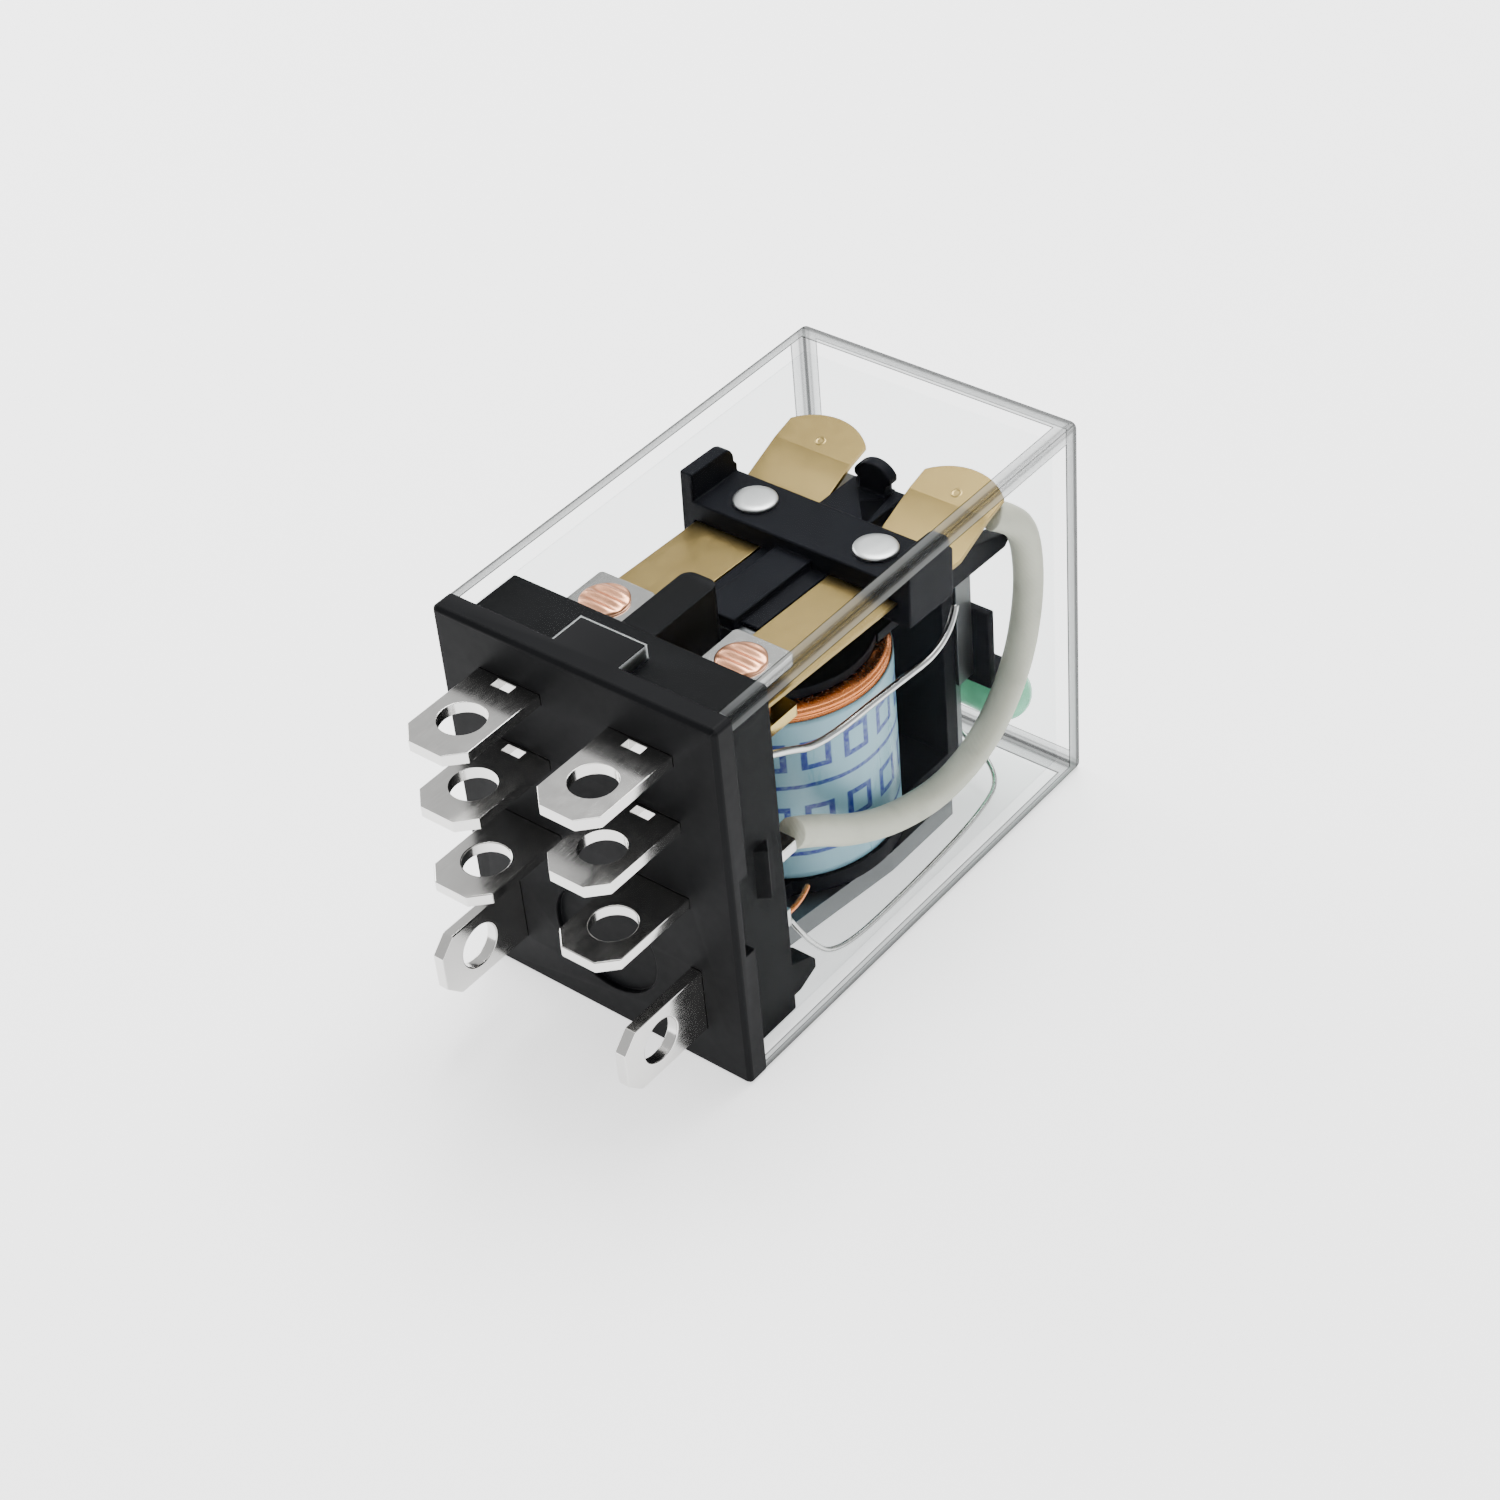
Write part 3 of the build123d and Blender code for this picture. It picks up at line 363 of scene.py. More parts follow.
@dataclass(frozen=True)
class ClearPolymer:
    """Clear moulded cover.

    Each face passes light straight on and mirrors a share of it that grows
    with the eighth power of one less the cosine of the angle. Along the twelve
    edges of the box, where the eye looks down the depth of the wall, painted
    shade and painted light make a bar with a dark outer line, a pale core and
    a thin inner line, and painted shade darkens faces seen at a grazing angle.
    The cut faces of the key notch carry painted light.
    """

    name: str
    half: Point = (10.75, 0.0, 14.0)
    end_y: float = 36.0
    wall: float = 1.0
    end_wall: float = 1.5
    clear: Colour = (0.975, 0.98, 0.98)
    # Colour of the painted shade laid on faces seen at a grazing angle.
    depth: Colour = (0.25, 0.28, 0.28)
    mirror: float = 0.0
    sky_mirror: float = 0.002
    glaze: float = 0.15
    notch_half: float = 2.56
    notch_end: float = 4.16
    notch_low: float = 12.8
    # Painted shade along the edge bars, by wall level: a dark outer line, a pale core and a thin inner line.
    grey: tuple[tuple[float, float], ...] = (
        (0.0, 1.0), (0.02, 0.12), (0.07, 0.18), (0.11, 0.60), (0.50, 0.50),
        (0.62, 0.22), (0.80, 0.34), (0.86, 0.05), (1.0, 0.03))
    # Painted light along the edge bars, strongest in the pale core.
    painted_edge_light: tuple[tuple[float, float], ...] = (
        (0.0, 0.0), (0.04, 0.03), (0.14, 0.26), (0.5, 0.24), (0.62, 0.10), (0.86, 0.06), (1.0, 0.02))

    def reach(self, graph: Graph, value: bpy.types.NodeSocket, limit: float,
              wall: float) -> bpy.types.NodeSocket:
        """Return 0 at the inner face of a wall, rising to 1 at its outer face.

        Args:
            graph: the cover's graph.
            value: distance from the middle of the cover, in metres.
            limit: that distance at the outer face, in millimetres.
            wall: thickness of the wall, in millimetres.

        Returns:
            The clamped share.
        """
        return graph.remap(value, (limit - wall) * MM, limit * MM, 0.0, 1.0)

    def ramp(self, graph: Graph, value: bpy.types.NodeSocket,
             stops: Sequence[tuple[float, float]]) -> bpy.types.NodeSocket:
        """Return a grey level that runs through given stops.

        Args:
            graph: the cover's graph.
            value: position along the ramp, 0 to 1.
            stops: rows of (position, level).

        Returns:
            The colour output.
        """
        made = graph.node("ValToRGB", Fac=value)
        elements = made.color_ramp.elements
        for _ in stops[2:]:
            elements.new(0.5)
        for element, (position, level) in zip(elements, stops):
            element.position = position
            element.color = (level, level, level, 1.0)
        return made.outputs["Color"]

    def dress(self) -> bpy.types.Material:
        """Build the material.

        Returns:
            The new material.
        """
        graph = Graph(self.name)
        where = graph.place()
        split = graph.node("SeparateXYZ", Vector=where)
        side_x = graph.math("ABSOLUTE", split.outputs["X"])
        across = self.reach(graph, side_x, self.half[0], self.wall)
        upright = self.reach(graph, graph.math("ABSOLUTE", split.outputs["Z"]), self.half[2], self.wall)
        ending = self.reach(graph, split.outputs["Y"], self.end_y, self.end_wall)
        level = graph.math("MAXIMUM", graph.math("MINIMUM", across, upright),
                           graph.math("MAXIMUM", graph.math("MINIMUM", across, ending),
                                      graph.math("MINIMUM", upright, ending)))
        # Painted shade and painted light along the twelve edges, by how deep in the wall a point lies.
        shade = self.ramp(graph, level, self.grey)
        painted_edge_light = self.ramp(graph, level, self.painted_edge_light)
        # Mask of the key notch's cut faces, which get painted light.
        beside = graph.remap(side_x, (self.notch_half - 0.02) * MM, self.notch_half * MM, 1.0, 0.0)
        ahead = graph.remap(split.outputs["Y"], (self.notch_end - 0.02) * MM, self.notch_end * MM,
                            1.0, 0.0)
        high = graph.remap(split.outputs["Z"], self.notch_low * MM, (self.notch_low + 0.1) * MM, 0.0, 1.0)
        cut = graph.math("MULTIPLY", graph.math("MULTIPLY", beside, ahead), high)
        facing = graph.node("LayerWeight", Blend=0.5).outputs["Facing"]
        # Painted shade: darkens faces seen at a grazing angle.
        rim = graph.math("MULTIPLY", graph.math("POWER", facing, 4.0), 0.7)
        haze = graph.noise(5.0, where, 5.0, 0.6)
        hairline = graph.noise(0.9, graph.place((1.0, 0.06, 0.3)), 2.0, 0.5)
        # The passing colour carries the painted shade of the edges and of grazing faces.
        through = graph.node("Mix", {"data_type": "RGBA", "blend_type": "MULTIPLY"})
        graph.feed(through.inputs[0], 1.0)
        graph.feed(through.inputs[6], graph.blend(rim, self.clear, self.depth))
        graph.feed(through.inputs[7], shade)
        passing = graph.node("BsdfTransparent", Color=through.outputs[2])
        # Translucent shader that carries the painted light of the edge cores and of the notch.
        scatter = graph.node("BsdfTranslucent", Color=(0.86, 0.89, 0.89))
        body = graph.node("MixShader")
        painted_light_share = graph.math("MAXIMUM", graph.math("MULTIPLY", cut, 0.8), painted_edge_light)
        scratched = graph.remap(hairline, 0.66, 0.8, 0.0, 0.004)
        graph.feed(body.inputs[0], graph.math("MAXIMUM", painted_light_share, scratched))
        graph.feed(body.inputs[1], passing.outputs[0])
        graph.feed(body.inputs[2], scatter.outputs[0])
        gloss = graph.math("ADD", graph.remap(haze, 0.4, 0.8, 0.015, 0.04),
                           graph.remap(hairline, 0.66, 0.78, 0.0, 0.05))
        shine = graph.node("BsdfAnisotropic", Color=(1.0, 1.0, 1.0), Roughness=gloss,
                           Normal=graph.bump(haze, 0.02, 0.25))
        roof = graph.remap(split.outputs["Z"], (self.half[2] - self.wall) * MM,
                           (self.half[2] - 0.9 * self.wall) * MM, self.mirror, self.sky_mirror)
        glaze = graph.math("MULTIPLY", graph.math("POWER", facing, 8.0), self.glaze)
        share = graph.math("ADD", glaze, roof)
        skin = graph.node("MixShader")
        graph.feed(skin.inputs[0], share)
        graph.feed(skin.inputs[1], body.outputs[0])
        graph.feed(skin.inputs[2], shine.outputs[0])
        graph.feed(graph.output.inputs["Surface"], skin.outputs[0])
        return graph.material


@dataclass(frozen=True)
class WindingTape:
    """Pale film tape with printed blue bands and rows of outlined boxes."""

    name: str
    centre_y: float
    film: Colour = (0.25, 0.45, 0.54)
    ink: Colour = (0.0, 0.015, 0.24)
    bands_z: tuple[float, ...] = (-1.9, -7.4)
    rows_z: tuple[float, ...] = (0.5, -4.6)
    blocks: float = 16.0

    def dress(self) -> bpy.types.Material:
        """Build the material.

        Returns:
            The new material.
        """
        graph = Graph(self.name)
        where = graph.place()
        split = graph.node("SeparateXYZ", Vector=graph.place((1, 1, 1), (0, -self.centre_y * MM, 0)))
        height = split.outputs["Z"]
        turn = graph.math("ARCTAN2", split.outputs["Y"], split.outputs["X"])
        wobble = graph.remap(graph.noise(2.0, where, 2.0), 0.0, 1.0, -0.12 * MM, 0.12 * MM)
        level = graph.math("ADD", height, wobble)
        marks = None
        for band in self.bands_z:
            away = graph.math("ABSOLUTE", graph.math("SUBTRACT", level, band * MM))
            line = graph.remap(away, 0.12 * MM, 0.2 * MM, 1.0, 0.0)
            marks = line if marks is None else graph.math("MAXIMUM", marks, line)
        for row in self.rows_z:
            away = graph.math("ABSOLUTE", graph.math("SUBTRACT", level, row * MM))
            inside = graph.remap(away, 1.1 * MM, 1.16 * MM, 1.0, 0.0)
            stripe = graph.math("FRACT", graph.math("MULTIPLY", turn, self.blocks / (2 * pi)))
            off = graph.math("ABSOLUTE", graph.math("SUBTRACT", stripe, 0.5))
            block = graph.math("MULTIPLY", inside, graph.remap(off, 0.33, 0.36, 1.0, 0.0))
            hollow = graph.math("MULTIPLY", graph.remap(away, 0.7 * MM, 0.76 * MM, 1.0, 0.0),
                                graph.remap(off, 0.19, 0.21, 1.0, 0.0))
            marks = graph.math("MAXIMUM", marks, graph.math("SUBTRACT", block, hollow))
        worn = graph.remap(graph.noise(0.3, where, 5.0), 0.35, 0.6, 0.7, 1.0)
        cloud = graph.remap(graph.noise(1.6, graph.place((1, 1, 0.3)), 4.0), 0.35, 0.7, 0.0, 1.0)
        film = graph.blend(cloud, self.film, tuple(c * 1.12 for c in self.film))
        shade = graph.blend(graph.math("MULTIPLY", marks, worn), film, self.ink)
        crease = graph.noise(0.9, graph.place((1, 1, 0.16)), 3.0)
        graph.surface(Base_Color=shade, Roughness=graph.remap(crease, 0.3, 0.7, 0.24, 0.42),
                      Normal=graph.bump(crease, 0.05, 0.5))
        return graph.material


@dataclass(frozen=True)
class WireSleeve:
    """Insulating sleeve: soft grey-white with a woven hint and handling marks."""

    name: str
    colour: Colour = (0.57, 0.57, 0.46)
    soiled: Colour = (0.36, 0.36, 0.29)

    def dress(self) -> bpy.types.Material:
        """Build the material.

        Returns:
            The new material.
        """
        graph = Graph(self.name)
        where = graph.place()
        soil = graph.remap(graph.noise(2.4, where, 5.0), 0.5, 0.75, 0.0, 0.5)
        weave = graph.node("TexWave", {"wave_type": "BANDS", "bands_direction": "DIAGONAL"},
                           Vector=where, Scale=1400.0, Distortion=1.0, Detail=1.0)
        shade = graph.blend(soil, self.colour, self.soiled)
        graph.surface(Base_Color=shade, Roughness=graph.remap(soil, 0.0, 0.5, 0.48, 0.62),
                      Normal=graph.bump(weave.outputs["Fac"], 0.012, 0.5))
        return graph.material


@dataclass(frozen=True)
class BandedBody:
    """Resistor lacquer with its rings of colour along X."""

    name: str
    start_x: float
    lacquer: Colour = (0.62, 0.50, 0.30)
    bands: tuple[tuple[float, Colour], ...] = (
        (1.0, (0.40, 0.05, 0.04)), (1.9, (0.06, 0.03, 0.02)), (2.8, (0.75, 0.35, 0.05)),
        (4.4, (0.62, 0.45, 0.12)))

    def dress(self) -> bpy.types.Material:
        """Build the material.

        Returns:
            The new material.
        """
        graph = Graph(self.name)
        where = graph.place()
        along = graph.node("SeparateXYZ", Vector=where).outputs["X"]
        cloud = graph.remap(graph.noise(1.2, where), 0.3, 0.7, 0.0, 1.0)
        shade = graph.blend(cloud, self.lacquer, tuple(c * 0.85 for c in self.lacquer))
        for offset, ink in self.bands:
            away = graph.math("ABSOLUTE", graph.math("SUBTRACT", along, (self.start_x + offset) * MM))
            shade = graph.blend(graph.remap(away, 0.24 * MM, 0.3 * MM, 1.0, 0.0), shade, ink)
        graph.surface(Base_Color=shade, Roughness=graph.remap(cloud, 0.0, 1.0, 0.22, 0.34),
                      Normal=graph.bump(graph.noise(0.4, where), 0.01, 0.5))
        return graph.material


@dataclass(frozen=True)
class TintedLens:
    """Translucent moulded lamp body."""

    name: str
    tint: Colour = (0.22, 0.70, 0.44)

    def dress(self) -> bpy.types.Material:
        """Build the material.

        Returns:
            The new material.
        """
        graph = Graph(self.name)
        where = graph.place()
        cloud = graph.remap(graph.noise(1.4, where, 3.0), 0.3, 0.7, 0.0, 1.0)
        shade = graph.blend(cloud, self.tint, tuple(min(1.0, c * 1.25) for c in self.tint))
        lens = graph.surface(Base_Color=shade, Roughness=graph.remap(cloud, 0.0, 1.0, 0.16, 0.3),
                             Normal=graph.bump(graph.noise(0.6, where), 0.01, 0.4))
        lens.inputs["Transmission Weight"].default_value = 0.25
        lens.inputs["IOR"].default_value = 1.5
        return graph.material


@dataclass(frozen=True)
class PalePaper:
    """Seamless paper that the relay lies on."""

    name: str
    colour: Colour = (0.95, 0.95, 0.955)
    glow: float = 1.3

    def dress(self) -> bpy.types.Material:
        """Build the material.

        Returns:
            The new material.
        """
        graph = Graph(self.name)
        grain = graph.noise(0.4, graph.place(), 3.0)
        paper = graph.surface(Base_Color=self.colour, Roughness=0.6, Normal=graph.bump(grain, 0.01, 0.1))
        paper.inputs["Emission Color"].default_value = (1.0, 1.0, 1.0, 1.0)
        paper.inputs["Emission Strength"].default_value = self.glow
        return graph.material


# ------------------------------------------------------------------ mesh makers
def healed(mesh: bpy.types.Mesh) -> bpy.types.Mesh:
    """Merge a mesh's doubles, turn its faces outwards and smooth it.

    Args:
        mesh: the mesh.

    Returns:
        The same mesh.
    """
    work = bmesh.new()
    work.from_mesh(mesh)
    bmesh.ops.remove_doubles(work, verts=work.verts, dist=1e-7)
    bmesh.ops.recalc_face_normals(work, faces=work.faces)
    work.to_mesh(mesh)
    work.free()
    mesh.shade_smooth()
    return mesh


def grid_mesh(name: str, points: np.ndarray, closed_u: bool = True) -> bpy.types.Mesh:
    """Make a mesh from a parametric grid of points.

    Each cell of the grid becomes one four-sided face. Along u the grid may
    close on itself. Rows whose points coincide become a pole.

    Args:
        name: name of the mesh.
        points: array of shape (v, u, 3) in millimetres.
        closed_u: whether the last column joins the first.

    Returns:
        The new mesh, in metres, with its poles merged.
    """
    rows, columns, _ = points.shape
    index = np.arange(rows * columns).reshape(rows, columns)
    following = np.roll(index, -1, axis=1) if closed_u else index[:, 1:]
    here = index if closed_u else index[:, :-1]
    faces = np.stack([here[:-1], following[:-1], following[1:], here[1:]], axis=-1).reshape(-1, 4)
    mesh = bpy.data.meshes.new(name)
    mesh.from_pydata((points.reshape(-1, 3) * MM).tolist(), [], faces.tolist())
    return healed(mesh)


def turned(name: str, profile: np.ndarray, centre: Point, axis: str = "Z",
           segments: int = 48) -> bpy.types.Mesh:
    """Turn a closed profile round an axis.

    A point is centre plus radius times (cos u, sin u) across the axis, plus
    height along it, for u evenly round the circle.

    Args:
        name: name of the mesh.
        profile: rows of (radius, height), from pole to pole.
        centre: origin of the profile.
        axis: "X", "Y" or "Z".
        segments: steps round the circle.

    Returns:
        The new mesh.
    """
    angle = np.linspace(0, 2 * pi, segments, endpoint=False)
    radius, height = profile[:, 0:1], profile[:, 1:2]
    first, second = radius * np.cos(angle), radius * np.sin(angle)
    along = np.repeat(height, segments, axis=1)
    order = {"X": (along, first, second), "Y": (second, along, first), "Z": (first, second, along)}
    points = np.stack(order[axis], axis=-1) + np.array(centre)
    return grid_mesh(name, points)


def show(mesh: bpy.types.Mesh, material: bpy.types.Material) -> bpy.types.Object:
    """Put a mesh into the scene with one material.

    Args:
        mesh: the mesh.
        material: its finish.

    Returns:
        The new object, named as its mesh.
    """
    made = bpy.data.objects.new(mesh.name, mesh)
    bpy.context.collection.objects.link(made)
    made.data.materials.append(material)
    return made


def eased_copy(node: str, name: str, material: bpy.types.Material, edge_mm: float,
               segments: int = 2) -> bpy.types.Object:
    """Copy a frame node as a clean solid with eased edges.

    The copy's loose triangles are merged, its flat faces are joined, and a
    bevel rounds every edge sharper than 30 degrees.

    Args:
        node: name of the frame node.
        name: name of the new piece.
        material: its finish.
        edge_mm: width of the rounding.
        segments: steps across the rounding.

    Returns:
        The new object.
    """
    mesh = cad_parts[node].data.copy()
    mesh.name = name
    work = bmesh.new()
    work.from_mesh(mesh)
    bmesh.ops.remove_doubles(work, verts=work.verts, dist=2e-6)
    bmesh.ops.dissolve_limit(work, angle_limit=radians(0.5), verts=work.verts, edges=work.edges)
    work.to_mesh(mesh)
    work.free()
    mesh.materials.clear()
    mesh.shade_smooth()
    mesh.set_sharp_from_angle(angle=radians(28))
    made = show(mesh, material)
    if not edge_mm:
        return made
    bevel = made.modifiers.new("eased", "BEVEL")
    bevel.width = edge_mm * MM
    bevel.segments = segments
    bevel.limit_method = "ANGLE"
    bevel.angle_limit = radians(30)
    bevel.harden_normals = True
    bevel.use_clamp_overlap = True
    weigh = made.modifiers.new("weighed", "WEIGHTED_NORMAL")
    weigh.keep_sharp = True
    weigh.weight = 80
    return made


def wire(name: str, route: Sequence[Point], diameter: float, material: bpy.types.Material,
         steps: int = 24) -> bpy.types.Object:
    """Lay a round wire along a smooth spline through its route.

    Args:
        name: name of the piece.
        route: points in millimetres.
        diameter: in millimetres.
        material: its finish.
        steps: spline steps per route point.

    Returns:
        The new object, made a mesh.
    """
    curve = bpy.data.curves.new(name, "CURVE")
    curve.dimensions = "3D"
    spline = curve.splines.new("NURBS")
    spline.points.add(len(route) - 1)
    flat = np.hstack([np.array(route) * MM, np.ones((len(route), 1))])
    spline.points.foreach_set("co", flat.ravel())
    spline.order_u = 3
    spline.use_endpoint_u = True
    spline.resolution_u = steps
    curve.bevel_depth = diameter / 2 * MM
    curve.bevel_resolution = 6
    curve.use_fill_caps = True
    laid = bpy.data.objects.new(name + "_curve", curve)
    bpy.context.collection.objects.link(laid)
    bpy.context.view_layer.update()
    mesh = bpy.data.meshes.new_from_object(laid.evaluated_get(bpy.context.evaluated_depsgraph_get()))
    bpy.data.objects.remove(laid)
    mesh.name = name
    mesh.materials.clear()
    return show(healed(mesh), material)


def settle(piece: bpy.types.Object, body: Body, slot: str, *nodes: str) -> None:
    """Fix a piece to its body and hide the frame nodes it stands for.

    Args:
        piece: the finished piece.
        body: the body it moves with.
        slot: material slot of the record; not used.
        nodes: frame nodes that it stands for.
    """
    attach(piece, body.value)
    if nodes:
        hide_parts(*nodes)
    LOG.info("%s on %s for %s", piece.name, body.value, ", ".join(nodes) or "nothing")


DRESSED: dict[Enum, bpy.types.Material] = {}


class Finish(Enum):
    """The finishes of the relay, by the record's slots."""

    BASE = ("black_thermoplastic", MouldedPlastic("moulded_black", (0.0045, 0.0048, 0.0055),
                                                  (0.03, 0.03, 0.032), 0.46))
    COVER = ("clear_cover", ClearPolymer("clear_polymer"))
    TINNED = ("tinned_brass", SheetMetal("tinned", (0.66, 0.655, 0.64), (0.50, 0.49, 0.47), 0.15,
                                         (1.0, 0.05, 1.0), 0.06, 0.0025))
    BRASS = ("bare_brass", DippedBlade("dipped_brass", (0.66, 0.655, 0.64), (0.50, 0.49, 0.47), 0.15,
                                       (1.0, 0.05, 1.0), 0.06, 0.0025))
    SPRING = ("spring_brass", SheetMetal("rolled_brass", (0.31, 0.225, 0.085), (0.24, 0.165, 0.055), 0.33,
                                         (1.0, 0.05, 1.0), 0.05, 0.003))
    COPPER = ("contact_rivet", SheetMetal("rivet_copper", (0.80, 0.40, 0.24), (0.60, 0.24, 0.12), 0.34,
                                          (1.0, 1.0, 1.0), 0.12, 0.004))
    SILVER = ("contact_silver", SheetMetal("contact_silver", (0.88, 0.87, 0.84), (0.6, 0.58, 0.54), 0.25,
                                           (1.0, 1.0, 1.0), 0.15, 0.003))
    RIVET = ("nickelled_rivet", SheetMetal("nickelled", (0.56, 0.57, 0.57), (0.40, 0.40, 0.39), 0.38,
                                           (1.0, 1.0, 1.0), 0.2, 0.004))
    STEEL = ("zinc_plated_steel", SheetMetal("zinc_plate", (0.20, 0.21, 0.215), (0.14, 0.14, 0.14), 0.36,
                                             (1.0, 0.4, 1.0), 0.3, 0.002))
    NYLON = ("black_nylon", MouldedPlastic("nylon_black", (0.005, 0.0056, 0.008),
                                           (0.03, 0.03, 0.034), 0.44))
    WINDING = ("enamelled_copper", SheetMetal("copper_enamel", (0.80, 0.27, 0.09), (0.62, 0.18, 0.05),
                                              0.26, (1.0, 1.0, 1.0), 0.3, 0.001))
    TAPE = ("winding_tape", WindingTape("film_tape", 18.1))
    SLEEVE = ("lead_sleeve", WireSleeve("sleeve_grey"))
    WIRE = ("spring_steel", SheetMetal("drawn_wire", (0.62, 0.62, 0.61), (0.45, 0.44, 0.43), 0.2,
                                       (1.0, 0.1, 1.0), 0.1, 0.002))
    TIN_WIRE = ("tinned_wire", SheetMetal("drawn_tinned", (0.60, 0.60, 0.59), (0.44, 0.43, 0.42), 0.25,
                                          (1.0, 0.3, 1.0), 0.1, 0.002))
    LENS = ("green_lens", TintedLens("lens_green"))
    RESISTOR = ("resistor_body", BandedBody("resistor_lacquer", -6.2))

    @property
    def slot(self) -> str:
        """The record's slot."""
        return self.value[0]

    @property
    def material(self) -> bpy.types.Material:
        """The material, built on first use."""
        if self not in DRESSED:
            DRESSED[self] = self.value[1].dress()
        return DRESSED[self]


# ------------------------------------------------------------------ sub-assemblies
@dataclass
class Shell:
    """Base moulding and clear cover."""

    edge_mm: float = 0.12
    cover_edge_mm: float = 0.0

    def build(self) -> None:
        """Make the two mouldings."""
        base = eased_copy("base", "base_moulding", Finish.BASE.material, self.edge_mm, 2)
        settle(base, Body.HOUSING, Finish.BASE.slot, "base")
        cover = eased_copy("cover", "clear_cover", Finish.COVER.material, self.cover_edge_mm, 3)
        settle(cover, Body.HOUSING, Finish.COVER.slot, "cover")


@dataclass
class Terminals:
    """Eight stamped blades with the fixed contacts riveted to four of them."""

    edge_mm: float = 0.09
    contact_x: float = 5.25
    contact_y: float = 8.95
    nc_top: float = 10.8
    no_top: float = 7.05
    plate: float = 0.8
    head_radius: float = 1.45
    head_height: float = 0.45
    tail_radius: float = 1.6
    shank_radius: float = 0.75
    ripple_height: float = 0.085
    ripple_pitch: float = 0.84

    def build(self) -> None:
        """Make every blade and fixed contact."""
        finishes = {"nc": Finish.TINNED, "no": Finish.BRASS, "com": Finish.TINNED, "coil": Finish.TINNED}
        for side in Side:
            for kind, finish in finishes.items():
                node = f"{kind}_terminal_{side.label}"
                blade = eased_copy(node, f"{kind}_blade_{side.label}", finish.material, self.edge_mm, 2)
                settle(blade, Body.HOUSING, finish.slot, node)
            self.contact(side, "nc", self.nc_top, -1.0)
            self.contact(side, "no", self.no_top - self.plate, 1.0)

    def contact(self, side: Side, kind: str, tail_level: float, up: float) -> None:
        """Make one fixed contact.

        The head is a low dome on the working side of the plate, and the
        tail, spread by the rivet tool, carries a ripple across it: its
        height is a dome plus a cosine of the distance along Y.

        Args:
            side: left or right.
            kind: "nc" or "no".
            tail_level: height of the plate's face under the tail.
            up: +1 if the head points up, -1 if it points down.
        """
        radius = np.linspace(0, 1, 15)[:, None]
        angle = np.linspace(0, 2 * pi, 56, endpoint=False)[None, :]
        across = self.tail_radius * radius * np.cos(angle)
        along = self.tail_radius * radius * np.sin(angle)
        ripple = self.ripple_height * np.cos(2 * pi * along / self.ripple_pitch) * (1 - radius ** 8)
        rise = 0.16 + 0.16 * (1 - radius ** 4) + ripple
        tail = np.stack([across, along, -up * rise], axis=-1)
        rim = np.stack([across[-1:], along[-1:], np.zeros_like(along[-1:])], axis=-1)
        shank_scale = self.shank_radius / self.tail_radius
        neck_top = np.stack([across[-1:] * shank_scale, along[-1:] * shank_scale,
                             np.zeros_like(along[-1:])], axis=-1)
        neck_end = neck_top + np.array([0, 0, up * self.plate])
        head = []
        for share, height in ((1.0, 0.0), (1.0, 0.55), (0.93, 0.85), (0.7, 0.97), (0.35, 1.0), (0.0, 1.0)):
            ring = neck_end.copy()
            ring[..., :2] *= share * self.head_radius / self.shank_radius
            ring[..., 2] += up * height * self.head_height
            head.append(ring)
        points = np.concatenate([tail, rim, neck_top, neck_end, *head])
        points = points + np.array([side.value * self.contact_x, self.contact_y, tail_level])
        mesh = grid_mesh(f"{kind}_contact_rivet_{side.label}", points)
        piece = show(mesh, Finish.COPPER.material)
        settle(piece, Body.HOUSING, Finish.COPPER.slot, f"{kind}_contact_{side.label}")


